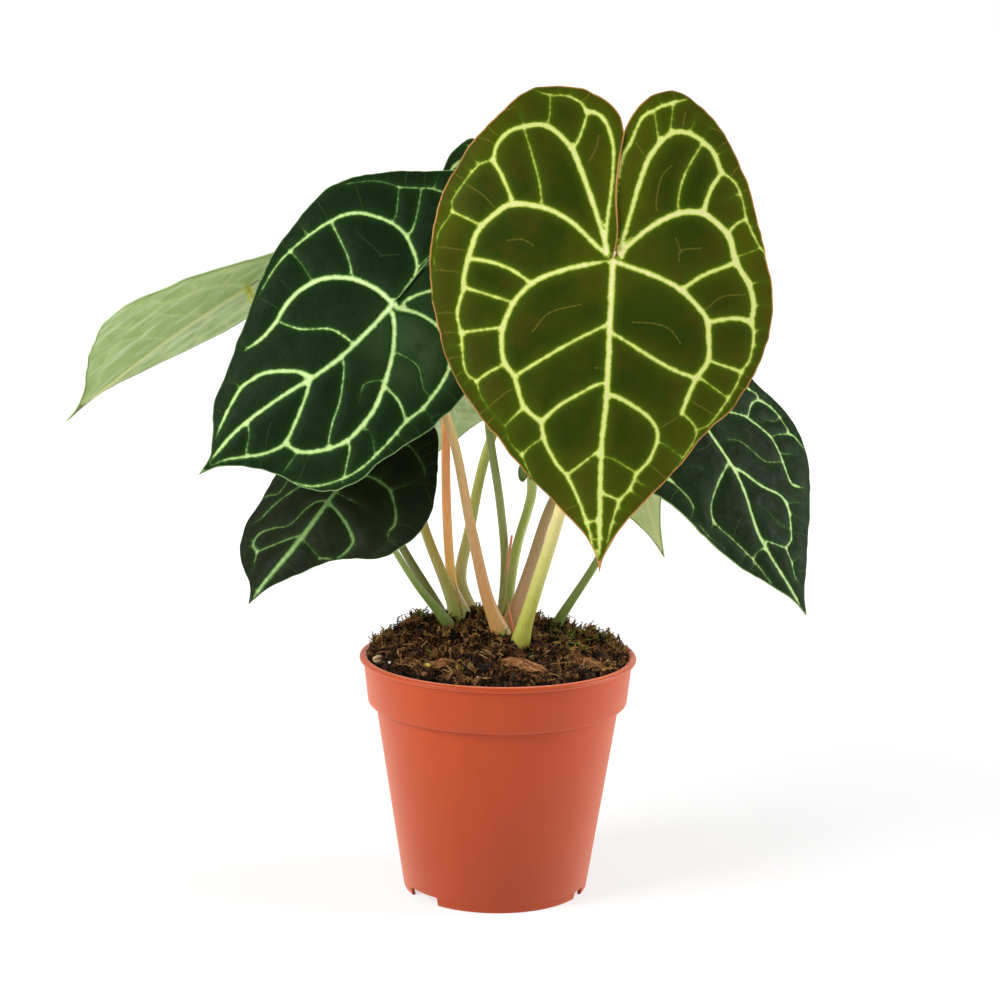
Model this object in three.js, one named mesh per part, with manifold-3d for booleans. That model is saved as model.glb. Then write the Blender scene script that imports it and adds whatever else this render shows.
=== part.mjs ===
// Potted Anthurium clarinervium: eleven heart-shaped leaves on their petioles, in a plastic nursery pot.
// Units are millimetres and +Z is up. The origin is the middle of the pot's foot, on the ground.
// +X runs to the plant's right, and the big front leaf faces -Y.
import * as THREE from "three";
import { mergeVertices } from "three/addons/utils/BufferGeometryUtils.js";
import Module from "manifold-3d";

const wasm = await Module();
wasm.setup();

const CLEARANCE = 0.3; // between pieces that touch on the real plant

// Nursery pot of the 12 cm size.
const POT_HEIGHT = 104;
const RIM_RADIUS = 60;
const LIP_HEIGHT = 2.2;
const LIP_ROUNDING = 0.4;
const COLLAR_TOP_RADIUS = 58.2;
const COLLAR_FOOT_RADIUS = 56.2;
const COLLAR_FOOT_Z = 82;
const COLLAR_ROUNDING = 0.7;
const BODY_TOP_RADIUS = 52.6;
const BODY_TOP_Z = 80;
const FOOT_RADIUS = 40;
const FOOT_ROUNDING = 1.8;
const POT_WALL = 1.5;
const FLOOR_Z = 4;
const PAD_RADIUS = 15;
const PAD_SLOPE = 1.2;
const POT_SIDES = 48;
const DRAIN_HOLES = 8;
const DRAIN_RADIUS = 4;
const DRAIN_CIRCLE = 26;
const DRAIN_SIDES = 12;
const NOTCH_DEPTH = 12; // along the radius, through the foot ring
// Water notches in the foot ring: [middle in degrees clockwise from the front, width, height].
const FOOT_NOTCHES = [
  [-50, 18, 4],
  [64, 8, 3.2],
  [98, 8, 3.2],
  [190, 18, 4],
];

// Potting mix heaped over the rim.
const SOIL_EDGE_Z = 102;
const SOIL_EDGE_INSET = 2.3; // inside the collar's outer face
const SOIL_BACK_RISE = 3;
const MOUND_HEIGHT = 12.5;
const MOUND_X = -8;
const MOUND_Y = 18;
const MOUND_SPREAD_X = 38;
const MOUND_SPREAD_Y = 34;
const LUMP_HEIGHT = 1.5;
const LUMP_PITCH = 7;
const SOIL_SIDES = 48;
const SOIL_RINGS = 11;
const HOLE_DEPTH = 10;
const SOIL_TOP_Z = 119; // clear above the heap

// Leaves and petioles.
const BLADE_THICKNESS = 0.8;
const MIDRIB_DEPTH = 0.9;
const ROW_PITCH = 7;
const RIPPLE_MIDDLE = 0.2; // shares of the midrib's length: where the edge's ripples have their centre,
const RIPPLE_RADIUS = 0.6; // how far out from it they have their full height,
const RIPPLE_LIMIT = 1.4; // and, as a share of that radius, where they stop growing
const COLUMNS = [0, 0.1, 0.36, 0.68, 1]; // shares of the way from the midrib to the edge
const JOINT_INSET = 1.6; // the petiole meets the blade this far below its notch
const SEAT_RIB = 0.6; // share of the midrib's depth over the petiole's end
const KNEE_LENGTH = 9; // swollen joint under the blade
const PETIOLE_SIDES = 8;
const PETIOLE_STEPS = 12;
const STEP_SHRINK = 1.5; // the steps get shorter towards the knee
const FOOT_LEAN = 0.35; // how much of its lean a petiole keeps underground

const UP = new THREE.Vector3(0, 0, 1);
const radians = THREE.MathUtils.degToRad;
const vector = (point) => new THREE.Vector3(...point);

const material = (colour, roughness) => new THREE.MeshStandardMaterial({ color: colour, roughness, metalness: 0 });
const MATERIALS = {
  pot: material("#c2502f", 0.45),
  soil: material("#4a3420", 0.95),
  velvet_blade: material("#44500f", 0.6),
  dark_blade: material("#173a1e", 0.5),
  pale_blade: material("#8fae68", 0.6),
  green_petiole: material("#7f9b3a", 0.5),
  tan_petiole: material("#b98a52", 0.5),
  salmon_petiole: material("#d2774c", 0.5),
  straw: material("#b9975f", 0.8),
  pink: material("#d58a76", 0.6),
};

const root = new THREE.Group();

function addMesh(name, geometry, look) {
  const mesh = new THREE.Mesh(geometry, look.clone());
  mesh.name = name;
  root.add(mesh);
}

// ---- Solids ----

function toSolid(geometry) {
  const bare = geometry.clone();
  bare.deleteAttribute("normal");
  bare.deleteAttribute("uv");
  const merged = mergeVertices(bare, 1e-4);
  return new wasm.Manifold(
    new wasm.Mesh({
      numProp: 3,
      vertProperties: Float32Array.from(merged.attributes.position.array),
      triVerts: Uint32Array.from(merged.index.array),
    }),
  );
}

function toGeometry(solid) {
  const mesh = solid.getMesh();
  const geometry = new THREE.BufferGeometry();
  geometry.setAttribute("position", new THREE.BufferAttribute(mesh.vertProperties, 3));
  geometry.setIndex(new THREE.BufferAttribute(mesh.triVerts, 1));
  geometry.computeVertexNormals();
  return geometry;
}

// Geometry from a list of points and triangles of point numbers.
function fromTriangles(points, triangles) {
  const geometry = new THREE.BufferGeometry();
  geometry.setAttribute("position", new THREE.Float32BufferAttribute(points.flatMap((p) => [p.x, p.y, p.z]), 3));
  geometry.setIndex(triangles.flat());
  geometry.computeVertexNormals();
  return geometry;
}

// A round bar along rings of { centre, normal, side, radius }, closed at both ends.
function barOfRings(rings, sides) {
  const points = [];
  for (const { centre, normal, side, radius } of rings) {
    for (let i = 0; i < sides; i += 1) {
      const angle = (2 * Math.PI * i) / sides;
      const point = centre.clone();
      point.addScaledVector(normal, radius * Math.cos(angle));
      point.addScaledVector(side, radius * Math.sin(angle));
      points.push(point);
    }
  }
  const first = points.push(rings[0].centre.clone()) - 1;
  const last = points.push(rings.at(-1).centre.clone()) - 1;
  const top = (rings.length - 1) * sides;
  const triangles = [];
  for (let i = 0; i < sides; i += 1) {
    const next = (i + 1) % sides;
    triangles.push([first, next, i]);
    triangles.push([last, top + i, top + next]);
    for (let ring = 0; ring < rings.length - 1; ring += 1) {
      const low = ring * sides;
      const high = low + sides;
      triangles.push([low + i, low + next, high + next]);
      triangles.push([low + i, high + next, high + i]);
    }
  }
  return fromTriangles(points, triangles);
}

// ---- Pot ----

// Pot wall's outer radius at a height, below the collar.
function bodyRadius(z) {
  return THREE.MathUtils.mapLinear(z, 0, BODY_TOP_Z, FOOT_RADIUS, BODY_TOP_RADIUS);
}

function potProfile() {
  const outside = [
    [0, 0],
    [PAD_RADIUS, 0],
    [PAD_RADIUS + PAD_SLOPE, FLOOR_Z],
    [bodyRadius(FLOOR_Z) - POT_WALL, FLOOR_Z],
    [bodyRadius(0) - POT_WALL, 0],
    [FOOT_RADIUS - FOOT_ROUNDING / 2, 0],
    [FOOT_RADIUS, FOOT_ROUNDING / 2],
    [bodyRadius(FLOOR_Z), FLOOR_Z],
    [BODY_TOP_RADIUS, BODY_TOP_Z],
    [COLLAR_FOOT_RADIUS - COLLAR_ROUNDING, COLLAR_FOOT_Z],
    [COLLAR_FOOT_RADIUS, COLLAR_FOOT_Z + COLLAR_ROUNDING],
    [COLLAR_TOP_RADIUS, POT_HEIGHT - LIP_HEIGHT],
    [RIM_RADIUS - LIP_ROUNDING, POT_HEIGHT - LIP_HEIGHT + LIP_ROUNDING / 2],
    [RIM_RADIUS, POT_HEIGHT - LIP_HEIGHT / 2],
    [RIM_RADIUS - LIP_ROUNDING, POT_HEIGHT],
  ];
  const inside = [
    [COLLAR_TOP_RADIUS - POT_WALL + LIP_ROUNDING, POT_HEIGHT],
    [COLLAR_TOP_RADIUS - POT_WALL, POT_HEIGHT - LIP_HEIGHT],
    [COLLAR_FOOT_RADIUS - POT_WALL, COLLAR_FOOT_Z + POT_WALL],
    [BODY_TOP_RADIUS - POT_WALL, BODY_TOP_Z + POT_WALL],
    [bodyRadius(FLOOR_Z + POT_WALL) - POT_WALL, FLOOR_Z + POT_WALL],
    [PAD_RADIUS + PAD_SLOPE - POT_WALL, FLOOR_Z + POT_WALL],
    [PAD_RADIUS - POT_WALL, POT_WALL],
    [0, POT_WALL],
  ];
  return [...outside, ...inside].map(([r, z]) => new THREE.Vector2(r, z));
}

// A block cut out of the foot ring, turned to its place.
function notchBlock(degrees, width, height) {
  const block = new THREE.BoxGeometry(width, NOTCH_DEPTH, 2 * height);
  block.translate(0, -FOOT_RADIUS, 0);
  block.rotateZ(radians(degrees));
  return toSolid(block);
}

function makePot() {
  const shell = new THREE.LatheGeometry(potProfile(), POT_SIDES);
  shell.rotateX(Math.PI / 2);
  let pot = toSolid(shell);
  for (const [degrees, width, height] of FOOT_NOTCHES) {
    pot = pot.subtract(notchBlock(degrees, width, height));
  }
  for (let i = 0; i < DRAIN_HOLES; i += 1) {
    const hole = new THREE.CylinderGeometry(DRAIN_RADIUS, DRAIN_RADIUS, 4 * POT_WALL, DRAIN_SIDES);
    hole.rotateX(Math.PI / 2);
    hole.translate(DRAIN_CIRCLE, 0, FLOOR_Z + POT_WALL / 2);
    hole.rotateZ((2 * Math.PI * (i + 0.5)) / DRAIN_HOLES);
    pot = pot.subtract(toSolid(hole));
  }
  addMesh("pot", toGeometry(pot), MATERIALS.pot);
}

// ---- Soil ----

// A number from 0 to 1 that is always the same for one pair of whole numbers.
function lattice(i, j) {
  const value = Math.sin(i * 127.1 + j * 311.7) * 43758.5453;
  return value - Math.floor(value);
}

// Smooth noise between -1 and 1.
function noise(x, y) {
  const i = Math.floor(x);
  const j = Math.floor(y);
  const u = THREE.MathUtils.smoothstep(x - i, 0, 1);
  const v = THREE.MathUtils.smoothstep(y - j, 0, 1);
  const near = THREE.MathUtils.lerp(lattice(i, j), lattice(i + 1, j), u);
  const far = THREE.MathUtils.lerp(lattice(i, j + 1), lattice(i + 1, j + 1), u);
  return 2 * THREE.MathUtils.lerp(near, far, v) - 1;
}

function soilHeight(x, y) {
  const spread = ((x - MOUND_X) / MOUND_SPREAD_X) ** 2 + ((y - MOUND_Y) / MOUND_SPREAD_Y) ** 2;
  const slope = (SOIL_BACK_RISE * (y + COLLAR_TOP_RADIUS)) / (2 * COLLAR_TOP_RADIUS);
  const lumps = LUMP_HEIGHT * noise(x / LUMP_PITCH, y / LUMP_PITCH);
  return SOIL_EDGE_Z + slope + MOUND_HEIGHT * Math.exp(-spread) + lumps;
}

// The filling as a turned solid whose top is then pushed up to the heap's surface.
function makeSoil(stalks) {
  const gap = POT_WALL + CLEARANCE;
  const padTop = POT_WALL + CLEARANCE;
  const floorTop = FLOOR_Z + POT_WALL + CLEARANCE;
  const edge = COLLAR_TOP_RADIUS - SOIL_EDGE_INSET;
  const top = POT_HEIGHT;
  const profile = [
    [0, padTop],
    [PAD_RADIUS - gap, padTop],
    [PAD_RADIUS + PAD_SLOPE - gap, floorTop],
    [bodyRadius(floorTop) - gap, floorTop],
    [BODY_TOP_RADIUS - gap, BODY_TOP_Z + gap],
    [COLLAR_FOOT_RADIUS - gap, COLLAR_FOOT_Z + gap],
    [edge, POT_HEIGHT - 6],
  ];
  for (let ring = SOIL_RINGS; ring >= 0; ring -= 1) {
    profile.push([edge * (ring / SOIL_RINGS), top]);
  }
  const shell = new THREE.LatheGeometry(profile.map(([r, z]) => new THREE.Vector2(r, z)), SOIL_SIDES);
  shell.rotateX(Math.PI / 2);
  const position = shell.attributes.position;
  for (let i = 0; i < position.count; i += 1) {
    if (Math.abs(position.getZ(i) - top) < 1e-3) {
      position.setZ(i, soilHeight(position.getX(i), position.getY(i)));
    }
  }
  let soil = toSolid(shell);
  for (const { rings } of stalks) {
    soil = soil.subtract(toSolid(stalkHole(rings)));
  }
  addMesh("soil", toGeometry(soil), MATERIALS.soil);
}

// ---- Leaf blades ----

// A blade's curved surface. "across" runs to the right of the midrib as the upper face is seen with its
// tip down, and "along" runs from the notch to the tip, both measured on the blade.
class BladeSurface {
  constructor(leaf) {
    const { joint, toward, face, edgeRight, curl, foldLeft, foldRight, cup, lobeCurl, wave } = leaf;
    this.length = edgeRight.at(-1)[1];
    this.joint = vector(joint);
    const aim = vector(toward).sub(this.joint).normalize();
    const up = vector(face).projectOnPlane(aim).normalize();
    const half = radians(curl) / 2;
    this.along = aim.clone().multiplyScalar(Math.cos(half)).addScaledVector(up, Math.sin(half));
    this.up = up.clone().multiplyScalar(Math.cos(half)).addScaledVector(aim, -Math.sin(half));
    this.across = this.up.clone().cross(this.along);
    this.curl = radians(curl) / this.length;
    this.lobeCurl = radians(lobeCurl) / 100;
    this.fold = [radians(foldLeft), radians(foldRight)];
    this.cup = radians(cup) / 100;
    this.wave = wave;
  }

  point(across, along) {
    const bend = along < 0 ? this.lobeCurl : this.curl;
    const turn = bend * along;
    const width = Math.abs(across);
    const fold = this.fold[across < 0 ? 0 : 1];
    const reach = (Math.sin(fold + this.cup * width) - Math.sin(fold)) / this.cup;
    const drop = (Math.cos(fold) - Math.cos(fold + this.cup * width)) / this.cup;
    const [height, count, phase] = this.wave;
    const down = along - RIPPLE_MIDDLE * this.length;
    const radius = Math.hypot(across, down) / (RIPPLE_RADIUS * this.length);
    const swing = Math.sin(count * Math.atan2(across, down) + radians(phase));
    const ripple = height * Math.min(radius, RIPPLE_LIMIT) ** 3 * swing;
    const point = this.joint.clone();
    point.addScaledVector(this.along, Math.sin(turn) / bend + Math.sin(turn) * (ripple - drop));
    point.addScaledVector(this.up, (Math.cos(turn) - 1) / bend + Math.cos(turn) * (ripple - drop));
    point.addScaledVector(this.across, Math.sign(across) * reach);
    return point;
  }

  normal(across, along) {
    const step = 0.2;
    const right = this.point(across + step, along).sub(this.point(across - step, along));
    const down = this.point(across, along + step).sub(this.point(across, along - step));
    return down.cross(right).normalize();
  }
}

// Points at even steps along a smooth line through the given [across, along] pairs.
function smoothLine(pairs, steps) {
  const curve = new THREE.CatmullRomCurve3(pairs.map(([x, y]) => new THREE.Vector3(x, y, 0)), false, "centripetal");
  return curve.getSpacedPoints(steps).map(({ x, y }) => [x, y]);
}

// One half of the blade as rows of flat points, from its slit and midrib out to its edge.
function halfRows(slit, edge, length) {
  const slitRows = Math.round(-slit.at(-1)[1] / ROW_PITCH);
  const midribRows = Math.round(length / ROW_PITCH);
  const inner = smoothLine([...slit].reverse(), slitRows);
  for (let i = 1; i <= midribRows; i += 1) {
    inner.push([0, length * (i / midribRows)]);
  }
  const outer = smoothLine([slit.at(-1), ...edge], slitRows + midribRows);
  return inner.map(([x, y], row) =>
    COLUMNS.map((share) => [
      THREE.MathUtils.lerp(x, outer[row][0], share),
      THREE.MathUtils.lerp(y, outer[row][1], share),
    ]),
  );
}

// A thin closed blade: both faces have the same triangles, and the midrib stands out below.
function bladeGeometry(leaf) {
  const surface = new BladeSurface(leaf);
  const flat = [];
  const numbers = new Map();
  const pointNumber = ([x, y]) => {
    const key = `${Math.round(x * 1000)} ${Math.round(y * 1000)}`;
    if (!numbers.has(key)) {
      numbers.set(key, flat.push([x, y]) - 1);
    }
    return numbers.get(key);
  };
  const faces = [];
  const addFace = (corners, flip) => {
    const [a, b, c] = corners.map(pointNumber);
    if (a !== b && b !== c && c !== a) {
      faces.push(flip ? [a, c, b] : [a, b, c]);
    }
  };
  for (const [slit, edge, flip] of [
    [leaf.slitLeft, leaf.edgeLeft, true],
    [leaf.slitRight, leaf.edgeRight, false],
  ]) {
    const rows = halfRows(slit, edge, surface.length);
    for (let i = 0; i < rows.length - 1; i += 1) {
      for (let j = 0; j < COLUMNS.length - 1; j += 1) {
        addFace([rows[i][j], rows[i + 1][j], rows[i + 1][j + 1]], flip);
        addFace([rows[i][j], rows[i + 1][j + 1], rows[i][j + 1]], flip);
      }
    }
  }
  const count = flat.length;
  const points = [];
  for (const side of [1, -1]) {
    for (const [x, y] of flat) {
      const onMidrib = x === 0 && y > 0 && y < surface.length;
      const rib = side < 0 && onMidrib ? MIDRIB_DEPTH * (1 - y / surface.length) : 0;
      const shift = side * (BLADE_THICKNESS / 2 + rib);
      points.push(surface.point(x, y).addScaledVector(surface.normal(x, y), shift));
    }
  }
  const edges = new Set(faces.flatMap(([a, b, c]) => [`${a} ${b}`, `${b} ${c}`, `${c} ${a}`]));
  const triangles = [];
  for (const [a, b, c] of faces) {
    triangles.push([a, b, c], [c + count, b + count, a + count]);
    for (const [from, to] of [[a, b], [b, c], [c, a]]) {
      if (!edges.has(`${to} ${from}`)) {
        triangles.push([from, from + count, to + count], [from, to + count, to]);
      }
    }
  }
  return fromTriangles(points, triangles);
}

// ---- Petioles ----

// Rings of a petiole: a buried foot, the listed points, then a knee that meets the blade squarely.
function petioleRings(leaf) {
  const surface = new BladeSurface(leaf);
  const radii = leaf.petiole.radii;
  const normal = surface.normal(0, JOINT_INSET);
  const droop = radii.at(-1) * Math.tan(Math.max(...surface.fold));
  const seat = BLADE_THICKNESS / 2 + CLEARANCE + Math.max(SEAT_RIB * MIDRIB_DEPTH, droop);
  const end = surface.point(0, JOINT_INSET).addScaledVector(normal, -seat);
  const knee = end.clone().addScaledVector(normal, -KNEE_LENGTH);
  const above = leaf.petiole.path.map(vector);
  const down = UP.clone().lerp(above[1].clone().sub(above[0]).normalize(), FOOT_LEAN);
  const foot = above[0].clone().addScaledVector(down, -HOLE_DEPTH);
  return stalkRings([foot, ...above, knee, end], radii);
}

// Rings along a smooth line, with radii spread evenly from its foot to its top.
function stalkRings(places, radii) {
  const curve = new THREE.CatmullRomCurve3(places, false, "centripetal");
  const rings = [];
  let normal = new THREE.Vector3(0, 1, 0);
  for (let i = 0; i <= PETIOLE_STEPS; i += 1) {
    const share = 1 - (1 - i / PETIOLE_STEPS) ** STEP_SHRINK;
    const place = share * (radii.length - 1);
    const low = Math.min(Math.floor(place), radii.length - 2);
    const tangent = curve.getTangentAt(share);
    normal = normal.clone().projectOnPlane(tangent).normalize();
    rings.push({
      centre: curve.getPointAt(share),
      normal,
      side: tangent.clone().cross(normal),
      radius: THREE.MathUtils.lerp(radii[low], radii[low + 1], place - low),
    });
  }
  return rings;
}

// The plain hole in the soil around a stalk's foot.
function stalkHole(rings) {
  const clear = rings.findIndex((ring) => ring.centre.z > SOIL_TOP_Z);
  const hole = rings.slice(0, (clear < 0 ? rings.length : clear + 1)).map((ring) => ({
    ...ring,
    radius: ring.radius + CLEARANCE,
  }));
  const down = hole[0].centre.clone().sub(hole[1].centre).setLength(CLEARANCE);
  hole[0] = { ...hole[0], centre: hole[0].centre.clone().add(down) };
  return barOfRings(hole, PETIOLE_SIDES);
}

// ---- The plant ----

// Half of an even heart outline: [across, along] from the shoulder of its slit to its tip.
function heartEdge(side, length, width, lobe) {
  const half = (side * width) / 2;
  return [
    [0.16 * half, -0.94 * lobe],
    [0.34 * half, -lobe],
    [0.58 * half, -0.88 * lobe],
    [0.82 * half, -0.53 * lobe],
    [0.97 * half, -0.03 * lobe],
    [half, 0.13 * length],
    [0.93 * half, 0.3 * length],
    [0.78 * half, 0.45 * length],
    [0.62 * half, 0.55 * length],
    [0.4 * half, 0.7 * length],
    [0.16 * half, 0.84 * length],
    [0, length],
  ];
}

function heartSlit(side, width, lobe) {
  const half = (side * width) / 2;
  return [
    [0, 0],
    [0.035 * half, -0.25 * lobe],
    [0.045 * half, -0.5 * lobe],
    [0.07 * half, -0.76 * lobe],
  ];
}

// A leaf with an even outline, given its midrib's length, its width and how far its lobes reach back.
function evenLeaf({ length, width, lobe, ...rest }) {
  return {
    slitLeft: heartSlit(-1, width, lobe),
    edgeLeft: heartEdge(-1, length, width, lobe),
    slitRight: heartSlit(1, width, lobe),
    edgeRight: heartEdge(1, length, width, lobe),
    ...rest,
  };
}

// Each leaf: "joint" is its notch, "toward" the point its tip aims at, and "face" the side its upper
// face looks to. Bends are in degrees: "curl" over the midrib, "fold" of each half at the midrib, and
// "cup" and "lobeCurl" over 100 mm. "wave" is the edge's ripple: height, ripples around, phase.
const LEAVES = [
  {
    name: "front",
    joint: [43.2, -68, 281],
    toward: [39.1, -98, 163],
    face: [0.05, -0.97, 0.24],
    slitLeft: [[0, 0], [1.6, -10], [0.6, -27], [1.6, -42], [3.2, -53]],
    edgeLeft: [
      [1, -61], [-6, -68.5], [-19, -73.2], [-33, -71.6], [-47, -60], [-61.3, -41.7], [-70, -22],
      [-72.6, -3], [-70.5, 20], [-63.3, 43], [-50.9, 62.8], [-33.4, 83.5], [-19.8, 96.9], [-6.2, 110],
      [0, 122],
    ],
    slitRight: [[0, 0], [3, -10], [2.6, -30], [3.6, -46], [4.8, -56]],
    edgeRight: [
      [7, -62], [13, -69.5], [22.3, -72.4], [32.1, -68.1], [43.9, -56.9], [54.2, -37.9], [61, -12],
      [65.6, 10], [64.4, 25.5], [59.5, 41], [51.7, 54.6], [40.7, 66.5], [26.2, 85.2], [10.3, 102.5],
      [4, 113], [0, 122],
    ],
    curl: 14, foldLeft: 4, foldRight: 4, cup: 10, lobeCurl: 6, wave: [1, 7, 40],
    blade: "velvet_blade",
    petiole: {
      path: [[9, -6, 108.1], [25.6, -26, 173.4], [36, -46, 222]],
      radii: [3, 2.9, 2.6, 2.4, 2.2, 2.5],
      look: "green_petiole",
    },
  },
  {
    name: "left",
    joint: [-44.5, -32, 259],
    toward: [-122.4, -40, 188.6],
    face: [-0.15, -0.93, 0.33],
    slitLeft: [[0, 0], [-2.2, -10], [-5.2, -24], [-6.4, -37], [-6, -48]],
    edgeLeft: [
      [-9, -56], [-17, -61], [-24, -60.8], [-30.1, -57.4], [-41, -45], [-54.5, -26.5], [-59.8, -12.6],
      [-59, 1], [-53.4, 23], [-39.7, 48.2], [-25.8, 71.4], [-19, 84], [-10, 91.5], [-3, 98],
      [0, 106.8],
    ],
    slitRight: [[0, 0], [-0.6, -10], [-3.2, -24], [-4.4, -37], [-3.4, -47]],
    edgeRight: [
      [2, -54], [11, -57], [22, -54], [33, -43], [42.5, -25], [47.5, -4], [49.4, 21.3], [46.6, 46],
      [46.6, 58], [41.9, 70.8], [33, 78], [20.2, 84], [10.5, 90.5], [3.8, 97.5], [0, 106.8],
    ],
    curl: 16, foldLeft: 5, foldRight: 5, cup: 8, lobeCurl: 6, wave: [1, 6, 100],
    blade: "dark_blade",
    petiole: {
      path: [[2.1, 1, 110], [-10.1, -6, 159.7], [-22.7, -16, 210.2]],
      radii: [3.2, 3.1, 2.3, 2, 1.9, 2.3],
      look: "tan_petiole",
    },
  },
  {
    name: "far_left",
    joint: [-109.9, 30, 260.2],
    toward: [-192.1, 36, 198.1],
    face: [-0.5, 0.46, 0.72],
    slitLeft: [[0, 0], [-1.2, -12], [-1.6, -24], [-2.5, -36]],
    edgeLeft: [
      [-7, -46], [-16, -49], [-27, -40], [-36, -16], [-39.5, 8], [-37.8, 25], [-30, 45], [-17.1, 62],
      [-5.7, 76.3], [1, 88], [0, 103],
    ],
    slitRight: [[0, 0], [1.2, -12], [1.6, -24], [2.5, -36]],
    edgeRight: [
      [6, -45], [13, -47], [20, -36], [24, -12], [28.1, 14], [34.6, 34], [37, 48], [31.4, 62.6],
      [17.9, 77], [7.4, 87], [2.5, 94], [0, 103],
    ],
    curl: 14, foldLeft: -8, foldRight: -8, cup: 0.5, lobeCurl: 8, wave: [0.8, 6, 0],
    blade: "pale_blade",
    petiole: {
      path: [[-24.5, 25, 113.5], [-43, 26, 145.5], [-78, 28, 207]],
      radii: [2, 1.9, 1.7, 1.6, 1.6, 1.9],
      look: "green_petiole",
    },
  },
  {
    name: "low_left",
    joint: [-65.2, -20, 183.9],
    toward: [-104.8, -36, 132.7],
    face: [-0.2, -0.8, 0.5],
    slitLeft: [[0, 0], [-1, -9], [-1.3, -18], [-2, -29]],
    edgeLeft: [
      [-7, -36], [-17, -38], [-29, -31], [-38, -14], [-41.5, 3], [-39.5, 16.8], [-35, 29], [-34.6, 40],
      [-28, 50], [-14.2, 57], [-5, 60.5], [0, 66.6],
    ],
    slitRight: [[0, 0], [1, -9], [1.3, -20], [2.4, -33]],
    edgeRight: [
      [6, -40], [14, -41], [24, -33], [33, -21.5], [38.6, -10], [39.6, 4], [35.4, 17], [24, 26],
      [15, 36], [7.3, 48.8], [2.4, 58], [0, 66.6],
    ],
    curl: 10, foldLeft: 25, foldRight: 5, cup: 8, lobeCurl: 8, wave: [0.8, 7, 200],
    blade: "dark_blade",
    petiole: {
      path: [[-20.2, 10, 111.4], [-36.3, 3, 134.6], [-50, -5, 158]],
      radii: [2.1, 1.9, 1.5, 1.3, 1.3, 1.6],
      look: "green_petiole",
    },
  },
  {
    name: "right",
    joint: [75.9, 12, 221.3],
    toward: [131.1, -8, 124.4],
    face: [0.52, -0.68, 0.5],
    slitLeft: [[0, 0], [-1.2, -12], [-1.8, -24], [-2.8, -36]],
    edgeLeft: [
      [-7, -45], [-15, -48], [-27, -42], [-38, -26], [-45, -4], [-47, 16], [-43.5, 34], [-36.5, 47],
      [-29.2, 65.4], [-19.1, 83], [-8.3, 97], [-2.8, 105], [0, 113.6],
    ],
    slitRight: [[0, 0], [1.2, -12], [1.8, -24], [2.8, -34]],
    edgeRight: [
      [8, -43], [17, -45], [28, -37], [36.5, -19], [41, 0], [45.5, 17], [51.5, 29], [53.8, 41],
      [47, 58.5], [34.4, 76], [18, 92.4], [5, 104.7], [0, 113.6],
    ],
    curl: 14, foldLeft: 3, foldRight: 3, cup: 6, lobeCurl: 8, wave: [0.8, 7, 60],
    blade: "dark_blade",
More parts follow.
